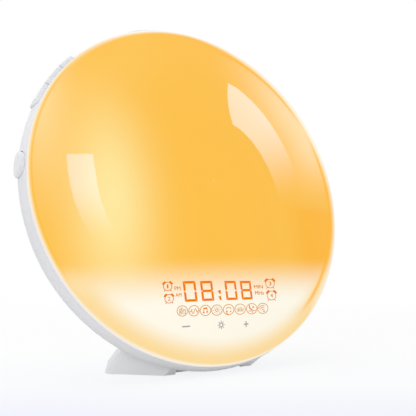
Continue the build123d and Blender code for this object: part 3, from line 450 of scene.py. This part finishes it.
closed = wire.node("GeometryNodeMergeByDistance", {
    "Geometry": wire.node("GeometryNodeJoinGeometry", {
        "Geometry": [risen, wire.node("GeometryNodeFlipFaces", {"Mesh": fills})],
    }),
    "Distance": 0.0005,
})
both = wire.node("GeometryNodeJoinGeometry", {"Geometry": [bars, closed]})
parts = marks.nodes.new("ShaderNodeSeparateXYZ")
marks.links.new(wire.node("GeometryNodeInputPosition").socket, parts.inputs[0])
along, rise, height = [Wire(marks, socket) for socket in parts.outputs]
leaning = along + (rise - drawn["Slant height"]) * drawn["Slant"]
tilting = rise + leaning * drawn["Tilt"]
sideways = wire.node("ShaderNodeVectorMath", {
    0: drawn["One across"], 1: leaning, 2: drawn["Start"],
}, operation="MULTIPLY_ADD")
facing = wire.node("ShaderNodeVectorMath", {
    0: drawn["One up"], 1: tilting, 2: sideways,
}, operation="MULTIPLY_ADD")
carrier = wire.node("GeometryNodeObjectInfo", {"Object": drawn["Carrier"]}, output="Geometry")
hit = marks.nodes.new("GeometryNodeRaycast")
for name, value in (
    ("Target Geometry", carrier), ("Source Position", facing),
    ("Ray Direction", drawn["Towards surface"]),
):
    marks.links.new(value.socket, hit.inputs[name])
proud = (height - drawn["Sink"]) * 0.001
laid = wire.node("ShaderNodeVectorMath", {
    0: Wire(marks, hit.outputs["Hit Normal"]), 1: proud,
    2: Wire(marks, hit.outputs["Hit Position"]),
}, operation="MULTIPLY_ADD")
placed = wire.node("GeometryNodeSetPosition", {"Geometry": both, "Position": laid})
placed = wire.node("GeometryNodeRealizeInstances", {"Geometry": placed})
placed = wire.node("GeometryNodeSetMaterial", {"Geometry": placed, "Material": drawn["Finish"]})
given = marks.nodes.new("NodeGroupOutput")
marks.links.new(placed.socket, given.inputs[0])

front_side = {
    "Start": disc_turn @ Vector((0, -0.1, 0)),
    "One across": Vector((0.001, 0, 0)),
    "One up": Vector((0, 0.001 * sin(lean), 0.001 * cos(lean))),
    "Towards surface": Vector((0, cos(lean), -sin(lean))),
}
slanted_front = {**front_side, "Slant": -0.09, "Slant height": -58.0, "Tilt": -0.02}
fine_line = 0.3


def lay_marks(name, sheet, carrier, finish, line_width, side, body):
    """Turns a flat drawing in millimetres into thin raised marks on a solid's surface."""
    flat = bpy.data.meshes.new(name + "_flat")
    sheet.to_mesh(flat)
    sheet.free()
    drawing = bpy.data.objects.new(name + "_flat", flat)
    bpy.context.scene.collection.objects.link(drawing)
    modifier = drawing.modifiers.new("marks", "NODES")
    modifier.node_group = marks
    values = {
        "Carrier": solids[carrier], "Line width": line_width, "Thickness": 0.14,
        "Sink": 0.04, "Finish": finish, "Slant": 0.0, "Slant height": 0.0, "Tilt": 0.0,
        **side,
    }
    for socket in marks.interface.items_tree:
        if socket.in_out == "INPUT" and socket.name in values:
            modifier[socket.identifier] = values[socket.name]
    graph = bpy.context.evaluated_depsgraph_get()
    mesh = bpy.data.meshes.new_from_object(drawing.evaluated_get(graph), depsgraph=graph)
    mesh.name = name
    drawing.modifiers.clear()
    bpy.data.objects.remove(drawing)
    bpy.data.meshes.remove(flat)
    piece = bpy.data.objects.new(name, mesh)
    bpy.context.scene.collection.objects.link(piece)
    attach(piece, body)


def plate(sheet, corners):
    """A filled shape in a flat drawing, its corners taken anticlockwise."""
    turning = sum(
        a[0] * b[1] - b[0] * a[1] for a, b in zip(corners, [*corners[1:], corners[0]])
    )
    order = corners if turning > 0 else corners[::-1]
    sheet.faces.new([sheet.verts.new((x, y, 0)) for x, y in order])


digit_places = ((-18.5, 4.72), (-9.35, 4.65), (4.25, 4.55), (13.4, 4.5))
digit_middle = -55.15
digit_half_width = 3.3
bar_width = 1.1
bar_gap = 0.1
colon_place = -2.65


def digit(sheet, x, y, tall, middle_bar):
    """A figure 0 or 8 in seven-bar style: mitred corners and a bar with pointed ends."""
    wide, bar, gap = digit_half_width, bar_width, bar_gap
    for side in (-1, 1):
        plate(sheet, [
            (x - wide + gap, y + side * tall), (x + wide - gap, y + side * tall),
            (x + wide - bar - gap, y + side * (tall - bar)),
            (x - wide + bar + gap, y + side * (tall - bar)),
        ])
        for half in (-1, 1):
            plate(sheet, [
                (x + side * wide, y + half * (tall - gap)),
                (x + side * (wide - bar), y + half * (tall - bar - gap)),
                (x + side * (wide - bar), y + half * (bar / 2 + gap)),
                (x + side * (wide - bar * 0.4), y + half * gap),
                (x + side * wide, y + half * 0.35),
            ])
    if middle_bar:
        tip = wide - bar * 0.45 - gap
        plate(sheet, [
            (x - tip, y), (x - tip + bar / 2, y - bar / 2), (x + tip - bar / 2, y - bar / 2),
            (x + tip, y), (x + tip - bar / 2, y + bar / 2), (x - tip + bar / 2, y + bar / 2),
        ])


amber_light, wire, out = new_material("amber_light")
place = wire.node("ShaderNodeTexCoord", output="Object")
cloud = wire.noise(place, 420.0)
body = wire.node("ShaderNodeBsdfPrincipled", {
    "Base Color": wire.blend(cloud, tint(140, 54, 2), tint(156, 66, 6)),
    "Roughness": 0.4,
    "Specular IOR Level": 0.0,
    "Emission Color": wire.blend(cloud, tint(226, 118, 2), tint(238, 130, 6)),
    "Emission Strength": 0.8,
})
wire.tree.links.new(body.socket, out.inputs["Surface"])

sheet = bmesh.new()
for (x, tall), middle_bar in zip(digit_places, (False, True, False, True)):
    digit(sheet, x, digit_middle, tall, middle_bar)
plate(sheet, [
    (colon_place - 0.8, -55.4), (colon_place + 0.2, -54.85),
    (colon_place + 0.8, -54.9), (colon_place + 0.8, -56.7), (colon_place - 0.2, -56.5),
])
plate(sheet, [
    (colon_place - 0.8, -57.9), (colon_place + 0.5, -57.6),
    (colon_place + 0.8, -59.7), (colon_place - 0.1, -59.6),
])
lay_marks(
    "clock_digits", sheet, "front_lens", amber_light, fine_line, slanted_front, "clock",
)


# ---- small words beside the digits ----
# Afternoon and morning on the left, minutes and megahertz on the right, printed
# in plain capitals of the same amber.
def lettering(sheet, words, x, y, width, height):
    """Plain capitals in a flat drawing, scaled to a width and height about their middle."""
    curve = bpy.data.curves.new("letters", "FONT")
    curve.body = words
    curve.resolution_u = 4
    letters = bpy.data.objects.new("letters", curve)
    bpy.context.scene.collection.objects.link(letters)
    graph = bpy.context.evaluated_depsgraph_get()
    mesh = bpy.data.meshes.new_from_object(letters.evaluated_get(graph), depsgraph=graph)
    corners = [vertex.co for vertex in mesh.vertices]
    left, right = min(c.x for c in corners), max(c.x for c in corners)
    low, high = min(c.y for c in corners), max(c.y for c in corners)
    mesh.transform(
        Matrix.Translation((x, y, 0))
        @ Matrix.Diagonal((width / (right - left), height / (high - low), 1, 1))
        @ Matrix.Translation((-(left + right) / 2, -(low + high) / 2, 0))
    )
    sheet.from_mesh(mesh)
    bpy.data.objects.remove(letters)
    bpy.data.meshes.remove(mesh)
    bpy.data.curves.remove(curve)


amber_print, wire, out = new_material("amber_print")
place = wire.node("ShaderNodeTexCoord", output="Object")
cloud = wire.noise(place, 600.0)
body = wire.node("ShaderNodeBsdfPrincipled", {
    "Base Color": wire.blend(cloud, tint(116, 56, 0), tint(128, 64, 0)),
    "Roughness": 0.45,
    "Specular IOR Level": 0.0,
    "Emission Color": wire.blend(cloud, tint(216, 114, 0), tint(228, 124, 0)),
    "Emission Strength": 0.8,
})
wire.tree.links.new(body.socket, out.inputs["Surface"])

sheet = bmesh.new()
lettering(sheet, "PM", -24.8, -53.6, 3.0, 1.7)
lettering(sheet, "AM", -24.7, -56.6, 3.1, 1.6)
lettering(sheet, "MIN", 21.35, -53.5, 5.7, 1.7)
lettering(sheet, "MHz", 21.55, -56.5, 5.7, 1.75)
lay_marks(
    "unit_words", sheet, "front_lens", amber_print, fine_line, slanted_front, "clock",
)


# ---- alarm marks ----
# Four little bell clocks, numbered, two at each end of the digits: a ringed
# face, two thick bells and two feet.
def arc(x, y, radius, start, end, count=24, squash=1.0):
    """Points on part of a circle, from one angle to another in degrees."""
    turns = [radians(start + (end - start) * i / count) for i in range(count + 1)]
    return [(x + radius * cos(t), y + radius * squash * sin(t)) for t in turns]


def stroke(sheet, points, closed=False):
    """A line in a flat drawing, through these points."""
    corners = [sheet.verts.new((x, y, 0)) for x, y in points]
    for first, second in zip(corners, corners[1:]):
        sheet.edges.new((first, second))
    if closed:
        sheet.edges.new((corners[-1], corners[0]))


def ring(sheet, x, y, radius, count=32):
    stroke(sheet, arc(x, y, radius, 0, 360 - 360 / count, count - 1), closed=True)


def set_down(sheet, drawn_before, x, y, wide, tall):
    """Moves what was drawn round the origin to its place, at its own width and height."""
    for corner in list(sheet.verts)[drawn_before:]:
        corner.co = (x + corner.co.x * wide, y + corner.co.y * tall, 0.0)


alarm_places = (
    (-30.15, -52.0, 2.1, 1.92), (-29.65, -57.6, 2.1, 1.92),
    (28.75, -52.5, 2.95, 2.15), (29.3, -58.45, 2.9, 2.2),
)
bell_top, bell_foot = 1.42, 0.98         # radii, in units of the face's own
faces, bells = bmesh.new(), bmesh.new()
for number, place in enumerate(alarm_places, 1):
    face_before, bell_before = len(faces.verts), len(bells.verts)
    ring(faces, 0.0, 0.0, 1.0)
    lettering(faces, str(number), 0.0, 0.0, 0.34 if number == 1 else 0.6, 0.92)
    for side in (-1, 1):
        stroke(faces, [(side * 0.6, -0.82), (side * 0.9, -1.16)])
        turn = 90 - side * 46
        crown = arc(0, 0, bell_top, turn - 21, turn + 21, 8)
        plate(bells, crown + arc(0, 0, bell_foot, turn + 25, turn - 25, 8))
    set_down(faces, face_before, *place)
    set_down(bells, bell_before, *place)
lay_marks(
    "alarm_marks", faces, "front_lens", amber_print, fine_line, front_side, "clock",
)
lay_marks(
    "alarm_bells", bells, "front_lens", amber_light, fine_line, front_side, "clock",
)


# ---- ringed icons ----
# A row of eight line icons in rings: radio, sound of waves, music, lamp, sleep
# sound, sunrise, moon and wireless. Their heavier parts are printed darker.
def disc(sheet, x, y, radius, squash=1.0):
    plate(sheet, arc(x, y, radius, 0, 345, 23, squash))


def rays(sheet, x, y, start, end, angles):
    """Short lines that point away from a middle."""
    for angle in angles:
        way = (cos(radians(angle)), sin(radians(angle)))
        stroke(sheet, [(x + way[0] * r, y + way[1] * r) for r in (start, end)])


icon_orange, wire, out = new_material("icon_orange")
place = wire.node("ShaderNodeTexCoord", output="Object")
cloud = wire.noise(place, 500.0)
body = wire.node("ShaderNodeBsdfPrincipled", {
    "Base Color": wire.blend(cloud, tint(116, 76, 0), tint(128, 84, 0)),
    "Roughness": 0.45,
    "Specular IOR Level": 0.0,
    "Emission Color": wire.blend(cloud, tint(206, 130, 0), tint(216, 138, 0)),
    "Emission Strength": 0.8,
})
wire.tree.links.new(body.socket, out.inputs["Surface"])

lines, fills = bmesh.new(), bmesh.new()


def radio(lines, fills):
    stroke(lines, [(-0.55, -0.55), (0.6, -0.55), (0.6, 0.28), (-0.55, 0.28)], True)
    stroke(lines, [(-0.4, 0.3), (0.1, 0.66)])
    ring(lines, -0.2, -0.14, 0.2, 16)
    stroke(lines, [(0.15, 0.08), (0.42, 0.08)])
    stroke(lines, [(0.15, -0.22), (0.42, -0.22)])


def waves(lines, fills):
    stroke(lines, [(-0.92, -0.22), (-0.66, -0.1), (-0.42, 0.1), (-0.37, 0.42)])
    stroke(lines, [
        (-0.42, 0.02), (-0.34, -0.36), (-0.2, -0.55), (-0.04, -0.36), (0.1, 0.14), (0.28, 0.42),
        (0.44, 0.16), (0.5, -0.22), (0.62, -0.38), (0.78, -0.08), (0.93, 0.08),
    ])


def music(lines, fills):
    plate(fills, [(-0.38, 0.24), (0.34, 0.28), (0.34, 0.56), (-0.38, 0.52)])
    stroke(lines, [(-0.33, 0.26), (-0.3, -0.3)])
    stroke(lines, [(0.3, 0.28), (0.32, -0.22)])
    disc(fills, -0.33, -0.4, 0.16)
    disc(fills, 0.3, -0.32, 0.16)


def lamp(lines, fills):
    ring(lines, 0.0, 0.0, 0.25, 20)
    rays(lines, 0.0, 0.0, 0.5, 0.68, range(0, 360, 45))


def sleep_sound(lines, fills):
    stroke(lines, arc(0.0, -0.05, 0.5, 15, 165, 16))
    disc(fills, -0.34, -0.34, 0.15, 1.2)
    disc(fills, 0.38, -0.38, 0.12, 1.2)
    stroke(lines, arc(0.05, -0.4, 0.5, 195, 262, 8))


def sunrise(lines, fills):
    stroke(lines, arc(0.0, -0.34, 0.36, 0, 180, 14))
    rays(lines, 0.0, -0.34, 0.52, 0.8, range(30, 151, 30))
    stroke(lines, [(-0.62, -0.34), (0.62, -0.34)])


def moon(lines, fills):
    plate(fills, arc(0.2, 0.42, 0.72, 150, 262, 12) + arc(0.24, 0.5, 0.58, 256, 166, 12))
    stroke(lines, [(0.12, -0.3), (0.12, -0.82)])
    stroke(lines, [(-0.62, -0.42), (0.0, -0.42)])
    stroke(lines, [(0.24, -0.36), (0.8, -0.36)])
    ring(lines, 0.28, 0.3, 0.13, 12)


def wireless(lines, fills):
    disc(fills, 0.2, -0.56, 0.15)
    for reach in (0.42, 0.8, 1.14):
        stroke(lines, arc(0.2, -0.56, reach, 82, 152, 12))


icons = (radio, waves, music, lamp, sleep_sound, sunrise, moon, wireless)
icon_places = (
    (-23.2, -63.45), (-17.15, -63.72), (-11.0, -63.92), (-4.7, -64.12), (2.0, -64.24),
    (8.85, -64.36), (15.95, -64.46), (23.05, -64.55),
)
icon_width, wider_each = 2.66, 0.102     # the rings grow a little towards the right
icon_height, taller_each = 2.33, 0.024
for number, (draw, (x, y)) in enumerate(zip(icons, icon_places)):
    line_before, fill_before = len(lines.verts), len(fills.verts)
    ring(lines, 0.0, 0.0, 1.0, 40)
    draw(lines, fills)
    wide, tall = icon_width + wider_each * number, icon_height + taller_each * number
    place = (x, y, wide, tall)
    set_down(lines, line_before, *place)
    set_down(fills, fill_before, *place)
lay_marks(
    "icon_lines", lines, "front_lens", icon_orange, fine_line, front_side, "clock",
)
lay_marks(
    "icon_fills", fills, "front_lens", amber_light, fine_line, front_side, "clock",
)


# ---- touch marks ----
# Grey marks printed over the three touch pads: less, the lamp, and more.
touch_grey, wire, out = new_material("touch_grey")
place = wire.node("ShaderNodeTexCoord", output="Object")
cloud = wire.noise(place, 700.0)
body = wire.node("ShaderNodeBsdfPrincipled", {
    "Base Color": wire.blend(cloud, tint(166, 166, 169), tint(174, 174, 177)),
    "Roughness": 0.5,
})
wire.tree.links.new(body.socket, out.inputs["Surface"])

less_place, lamp_place, more_place = (-21.45, -70.55), (-2.5, -71.1), (12.1, -71.6)
sheet = bmesh.new()
x, y = less_place
plate(sheet, [(x - 2.0, y - 0.3), (x + 2.0, y - 0.3), (x + 2.0, y + 0.3), (x - 2.0, y + 0.3)])
x, y = lamp_place
rays(sheet, x, y, 0.9, 1.95, range(0, 360, 45))
ring(sheet, x, y, 0.85, 20)
x, y = more_place
long, short = 1.4, 0.28
plate(sheet, [
    (x + a, y + b) for a, b in (
        (-long, -short), (-short, -short), (-short, -long), (short, -long),
        (short, -short), (long, -short), (long, short), (short, short),
        (short, long), (-short, long), (-short, short), (-long, short),
    )
])
touch_line = 0.36
lay_marks(
    "touch_marks", sheet, "front_lens", touch_grey, touch_line, front_side, "clock",
)


# ---- display window ----
# Behind the acrylic: a pale polyester film with a matt print, a black mask of
# moulded wells, and under each well a small lamp in a white package.
def finished(body, out):
    """Joins a shader to its material's output."""
    body.tree.links.new(body.socket, out.inputs["Surface"])


def moulded(name, low, high, gloss, grain_scale, grain_depth):
    """Injection-moulded plastic: a faintly cloudy tone and the fine texture of its tool."""
    material, wire, out = new_material(name)
    place = wire.node("ShaderNodeTexCoord", output="Object")
    grain = wire.noise(place, grain_scale)
    finished(wire.node("ShaderNodeBsdfPrincipled", {
        "Base Color": wire.blend(wire.noise(place, 40.0, 3.0), low, high),
        "Roughness": grain * 0.14 + (gloss - 0.07),
        "Normal": wire.node("ShaderNodeBump", {
            "Height": grain, "Strength": 0.6, "Distance": grain_depth,
        }),
    }), out)
    return material


def small_lamp(name, phosphor_low, phosphor_high):
    """A lamp's package: yellow phosphor on the face that looks forward, white sides."""
    material, wire, out = new_material(name)
    facing = wire.node("ShaderNodeNewGeometry", output="Normal")
    forward = wire.node("ShaderNodeVectorMath", {
        0: facing, 1: (0, -cos(lean), sin(lean)),
    }, output="Value", operation="DOT_PRODUCT")
    place = wire.node("ShaderNodeTexCoord", output="Object")
    phosphor = wire.blend(wire.noise(place, 1500.0), phosphor_low, phosphor_high)
    front = wire.step(forward, 0.75, 0.95)
    finished(wire.node("ShaderNodeBsdfPrincipled", {
        "Base Color": wire.blend(front, tint(232, 230, 222), phosphor),
        "Roughness": 0.45 - front * 0.2,
        "Emission Color": wire.blend(front, (0, 0, 0, 1), phosphor),
        "Emission Strength": 0.6,
    }), out)
    return material


pale_film, wire, out = new_material("pale_film")
place = wire.node("ShaderNodeTexCoord", output="Object")
fibre = wire.noise(place, 5200.0)
finished(wire.node("ShaderNodeBsdfPrincipled", {
    "Base Color": wire.blend(wire.noise(place, 60.0), tint(238, 234, 220), tint(244, 240, 228)),
    "Roughness": fibre * 0.2 + 0.4,
    "Normal": wire.node("ShaderNodeBump", {"Height": fibre, "Strength": 0.3, "Distance": 0.00002}),
}), out)
dress(pale_film, "display_film")
dress(
    moulded("black_mask", tint(15, 15, 16), tint(23, 23, 24), 0.62, 3800.0, 0.00003),
    "display_frame",
)
display_lamp = small_lamp("display_lamp", tint(240, 160, 60), tint(246, 178, 84))
dress(display_lamp, "display_leds")


# ---- light tray ----
# Glossy white ABS, moulded as a shallow bowl with posts. It carries the lamps'
# board and throws their light forward into the lens.
dress(
    moulded("tray_white", tint(236, 236, 232), tint(243, 243, 240), 0.3, 900.0, 0.00001),
    "reflector_tray",
)


# ---- lamps and their board ----
# A round board under white solder mask, its tracks just showing through, with
# thirty warm lamps soldered on in three rings.
def board(name, mask_low, mask_high, track, pad, pitch):
    """Laminate under a solder mask, with a field of tracks and small tinned pads."""
    material, wire, out = new_material(name)
    across, behind, up = disc_place(wire)
    plan = wire.node("ShaderNodeCombineXYZ", {"X": across, "Y": up})
    tracks = wire.node("ShaderNodeTexBrick", {
        "Vector": plan, "Scale": 1.0 / pitch, "Mortar Size": 0.05,
        "Mortar Smooth": 0.1, "Brick Width": 3.0, "Row Height": 0.5,
    }, output="Fac")
    spots = wire.node("ShaderNodeTexVoronoi", {
        "Vector": plan, "Scale": 0.6 / pitch, "Randomness": 0.8,
    }, output="Distance")
    pads = 1.0 - wire.step(spots, 0.1, 0.13)
    weave = wire.noise(plan, 3.0)
    mask = wire.blend(weave, mask_low, mask_high)
    mask = wire.blend(tracks * 0.7, mask, track)
    finished(wire.node("ShaderNodeBsdfPrincipled", {
        "Base Color": wire.blend(pads, mask, pad),
        "Metallic": pads * 0.9,
        "Roughness": weave * 0.1 + 0.3,
        "Normal": wire.node("ShaderNodeBump", {
            "Height": tracks + pads, "Strength": 0.4, "Distance": 0.00004,
        }),
    }), out)
    return material


dress(board(
    "white_laminate", tint(228, 228, 222), tint(236, 236, 230), tint(214, 214, 206),
    tint(190, 188, 184), 5.0,
), "light_board")
dress(small_lamp("warm_lamp", tint(238, 206, 96), tint(246, 220, 124)), "light_leds")


# ---- green boards ----
# Glass-epoxy laminate under green solder mask: the display's board, the main
# board, and the small boards that carry the push switches.
dress(
    board(
        "green_laminate", tint(14, 82, 44), tint(20, 94, 52), tint(40, 128, 74),
        tint(206, 186, 120), 3.2,
    ),
    "display_board", "main_board", "oval_switch_boards", "key_switch_boards",
    "snooze_switch_board",
)


# ---- touch pads and contacts ----
# Plated spring metal: the pads behind the touch marks, the coin cell's two
# contacts and the pin of the power inlet, drawn and so faintly lined.
def plated(name, low, high, gloss, stretch, grain_scale):
    """Bare or plated metal with fine lines left by drawing or stamping."""
    material, wire, out = new_material(name)
    place = wire.node("ShaderNodeTexCoord", output="Object")
    drawn_out = wire.node("ShaderNodeMapping", {"Vector": place, "Scale": stretch})
    lines = wire.noise(drawn_out, grain_scale, 3.0)
    finished(wire.node("ShaderNodeBsdfPrincipled", {
        "Base Color": wire.blend(lines, low, high),
        "Metallic": 1.0,
        "Roughness": lines * 0.2 + (gloss - 0.1),
        "Normal": wire.node("ShaderNodeBump", {
            "Height": lines, "Strength": 0.25, "Distance": 0.00002,
        }),
    }), out)
    return material


dress(
    plated("spring_contact", tint(196, 178, 132), tint(214, 198, 156), 0.34, (1, 1, 6), 900.0),
    "touch_pads", "battery_contacts", "jack_contact",
)


# ---- parts on the main board ----
# The control chip in matt epoxy, the radio module under its tinned can, two
# aluminium capacitors with a dark half on top, and nylon plug sockets.
black_epoxy, wire, out = new_material("black_epoxy")
place = wire.node("ShaderNodeTexCoord", output="Object")
grit = wire.noise(place, 6500.0)
finished(wire.node("ShaderNodeBsdfPrincipled", {
    "Base Color": wire.blend(wire.noise(place, 300.0), tint(20, 20, 22), tint(32, 32, 34)),
    "Roughness": grit * 0.2 + 0.55,
    "Normal": wire.node("ShaderNodeBump", {"Height": grit, "Strength": 0.5, "Distance": 0.00003}),
}), out)
dress(black_epoxy, "control_chip")
dress(
    plated("tinned_can", tint(176, 177, 180), tint(198, 199, 202), 0.36, (4, 1, 1), 700.0),
    "radio_module",
)
capacitor_can, wire, out = new_material("capacitor_can")
place = wire.node("ShaderNodeTexCoord", output="Object")
facing = wire.node("ShaderNodeNewGeometry", output="Normal")
backward = wire.node("ShaderNodeVectorMath", {
    0: facing, 1: (0, cos(lean), -sin(lean)),
}, output="Value", operation="DOT_PRODUCT")
lines = wire.noise(place, 900.0, 3.0)
across, behind, up = disc_place(wire)
capacitor_low, capacitor_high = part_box("capacitors")
capacitor_middle = (capacitor_low.x + capacitor_high.x) * 500.0
dark_half = (
    wire.step(backward, 0.8, 0.95) * wire.step(across, capacitor_middle, capacitor_middle + 0.1)
)
finished(wire.node("ShaderNodeBsdfPrincipled", {
    "Base Color": wire.blend(
        dark_half, wire.blend(lines, tint(186, 188, 191), tint(206, 208, 210)), tint(34, 34, 38)
    ),
    "Metallic": 1.0 - dark_half,
    "Roughness": lines * 0.2 + 0.22,
}), out)
dress(capacitor_can, "capacitors")
dress(
    moulded("nylon_socket", tint(226, 221, 200), tint(234, 230, 212), 0.55, 2600.0, 0.00002),
    "board_sockets",
)


# ---- leads ----
# A grey ribbon of side-by-side cores from the display to the main board, the
# lamps' lead, and a red pair to the speaker, all insulated in soft vinyl.
ribbon_vinyl, wire, out = new_material("ribbon_vinyl")
place = wire.node("ShaderNodeTexCoord", output="Object")
across, behind, up = disc_place(wire)
core_pitch = 1.0
cores = wire.math("SINE", across * (2 * pi / core_pitch)) * 0.5 + 0.5
scuff = wire.noise(place, 800.0)
finished(wire.node("ShaderNodeBsdfPrincipled", {
    "Base Color": wire.blend(cores, tint(150, 150, 152), tint(188, 188, 190)),
    "Roughness": scuff * 0.2 + 0.4,
    "Normal": wire.node("ShaderNodeBump", {"Height": cores, "Strength": 0.6, "Distance": 0.0001}),
}), out)
dress(ribbon_vinyl, "display_ribbon", "light_lead")
dress(
    moulded("red_vinyl", tint(146, 22, 18), tint(168, 30, 24), 0.42, 1800.0, 0.00002),
    "speaker_lead",
)


# ---- speaker ----
# A pressed steel basket under black powder coat, a ring magnet of dark ferrite,
# a paper cone, and rubber for the roll round the cone and for the gasket.
dress(
    moulded("powder_coat", tint(26, 26, 28), tint(36, 36, 38), 0.5, 1500.0, 0.00006),
    "speaker_frame",
)
ferrite, wire, out = new_material("ferrite")
place = wire.node("ShaderNodeTexCoord", output="Object")
grains = wire.node("ShaderNodeTexVoronoi", {"Vector": place, "Scale": 900.0}, output="Distance")
finished(wire.node("ShaderNodeBsdfPrincipled", {
    "Base Color": wire.blend(wire.noise(place, 240.0), tint(52, 52, 54), tint(70, 70, 73)),
    "Metallic": 0.3,
    "Roughness": grains * 0.3 + 0.42,
    "Normal": wire.node("ShaderNodeBump", {
        "Height": grains, "Strength": 0.3, "Distance": 0.00005,
    }),
}), out)
dress(ferrite, "speaker_magnet")
paper_pulp, wire, out = new_material("paper_pulp")
place = wire.node("ShaderNodeTexCoord", output="Object")
fibres = wire.noise(place, 1100.0, 6.0)
finished(wire.node("ShaderNodeBsdfPrincipled", {
    "Base Color": wire.blend(fibres, tint(30, 29, 28), tint(58, 56, 54)),
    "Roughness": 0.92,
    "Normal": wire.node("ShaderNodeBump", {"Height": fibres, "Strength": 0.7, "Distance": 0.0001}),
}), out)
dress(paper_pulp, "speaker_cone")
dress(
    moulded("black_rubber", tint(20, 20, 21), tint(28, 28, 29), 0.68, 2200.0, 0.00002),
    "speaker_surround", "speaker_gasket",
)


# ---- push switches and plungers ----
# Sealed push switches with black cases, and the natural-white acetal plungers
# that reach out from them to the rim buttons.
dress(
    moulded("switch_case", tint(22, 22, 24), tint(30, 30, 32), 0.45, 3000.0, 0.00002),
    "tact_switches",
)
dress(
    moulded("acetal", tint(220, 220, 217), tint(228, 228, 225), 0.4, 1600.0, 0.00001),
    "snooze_plungers",
    *[f"{side}_{button}_plunger" for side in ("left", "right")
      for button in ("oval", "key_lower", "key_middle", "key_upper")],
)


# ---- rear cover ----
# Injection-moulded white ABS with the fine, even texture of a spark-eroded
# tool. Small raised signs by the power inlet and the aerial's hole name them.
white_abs = moulded(
    "white_abs", tint(233, 234, 237), tint(239, 240, 242), 0.46, 3400.0, 0.00003,
)
dress(white_abs, "rear_cover")

back_side = {
    "Start": disc_turn @ Vector((0, 0.1, 0)),
    "One across": Vector((-0.001, 0, 0)),
    "One up": Vector((0, 0.001 * sin(lean), 0.001 * cos(lean))),
    "Towards surface": Vector((0, -cos(lean), sin(lean))),
}
raised_sign = moulded(
    "raised_sign", tint(222, 223, 226), tint(230, 231, 233), 0.36, 1500.0, 0.00001,
)
inlet_place, inlet_sign_row = 20.0, -20.5
sheet = bmesh.new()
ring(sheet, inlet_place - 4.2, inlet_sign_row, 1.0, 24)
stroke(sheet, [(inlet_place - 4.75, inlet_sign_row), (inlet_place - 3.65, inlet_sign_row)])
stroke(sheet, [(inlet_place - 3.2, inlet_sign_row), (inlet_place - 1.5, inlet_sign_row)])
stroke(sheet, arc(inlet_place, inlet_sign_row, 1.5, 45, 315, 24))
disc(sheet, inlet_place, inlet_sign_row, 0.45)
stroke(sheet, [(inlet_place + 0.45, inlet_sign_row), (inlet_place + 3.2, inlet_sign_row)])
ring(sheet, inlet_place + 4.2, inlet_sign_row, 1.0, 24)
stroke(sheet, [(inlet_place + 3.65, inlet_sign_row), (inlet_place + 4.75, inlet_sign_row)])
stroke(sheet, [
    (inlet_place + 4.2, inlet_sign_row - 0.55), (inlet_place + 4.2, inlet_sign_row + 0.55),
])
aerial_place, aerial_sign_row = -20.0, -20.5
stroke(sheet, [(aerial_place, aerial_sign_row - 2.0), (aerial_place, aerial_sign_row + 1.8)])
stroke(sheet, [
    (aerial_place - 1.5, aerial_sign_row + 1.8), (aerial_place, aerial_sign_row + 0.1),
    (aerial_place + 1.5, aerial_sign_row + 1.8),
])
sign_line, sign_height = 0.32, 0.28
lay_marks(
    "back_signs", sheet, "rear_cover", raised_sign, sign_line,
    {**back_side, "Thickness": sign_height}, "clock",
)


# ---- rim buttons ----
# Caps of the same ABS from a smoother tool, so they shine a little more: ovals
# and keys on both sides, and the long bar over the top.
button_abs = moulded(
    "button_abs", tint(234, 235, 238), tint(240, 241, 243), 0.34, 2200.0, 0.00001,
)
dress(
    button_abs, "snooze_bar",
    *[f"{side}_{button}" for side in ("left", "right")
      for button in ("oval", "key_lower", "key_middle", "key_upper")],
)


# ---- coin cell and its hatch ----
# A backup cell with a brushed steel case, under a hinged hatch of the cover's
# own ABS.
dress(
    plated("cell_case", tint(190, 191, 194), tint(208, 209, 212), 0.24, (1, 1, 1), 1400.0),
    "coin_cell",
)
hatch_abs = moulded(
    "hatch_abs", tint(232, 233, 236), tint(238, 239, 241), 0.46, 3400.0, 0.00003,
)
dress(hatch_abs, "battery_door")


# ---- power inlet and aerial grommet ----
# A black inlet with a glossy moulded face, and a grey rubber ring that guards
# the aerial's wire where it leaves the case.
dress(
    moulded("inlet_black", tint(16, 16, 17), tint(24, 24, 25), 0.3, 1800.0, 0.00001),
    "dc_jack",
)
grey_rubber = moulded(
    "grey_rubber", tint(132, 132, 134), tint(146, 146, 148), 0.74, 1900.0, 0.00003,
)
dress(grey_rubber, "aerial_grommet", "rubber_feet")


# ---- foot ----
# A hollow foot of textured white ABS, screwed to the disc's back, with a plate
# that closes it from below.
dress(
    moulded("foot_abs", tint(238, 239, 241), tint(243, 244, 245), 0.5, 3000.0, 0.00003),
    "foot",
)
dress(
    moulded("base_abs", tint(218, 218, 217), tint(226, 226, 225), 0.62, 1700.0, 0.00005),
    "base_plate",
)


# ---- screws ----
# Zinc-plated steel screws with cross recesses, self-tapping into the posts, their plating faintly
# clouded.
dress(
    plated("zinc_plate", tint(160, 162, 168), tint(196, 197, 201), 0.34, (1, 1, 1), 2600.0),
    "case_screws", "board_screws", "speaker_screws", "switch_screws", "foot_screws",
    "base_screws",
)


bpy.context.scene.view_settings.view_transform = "Standard"
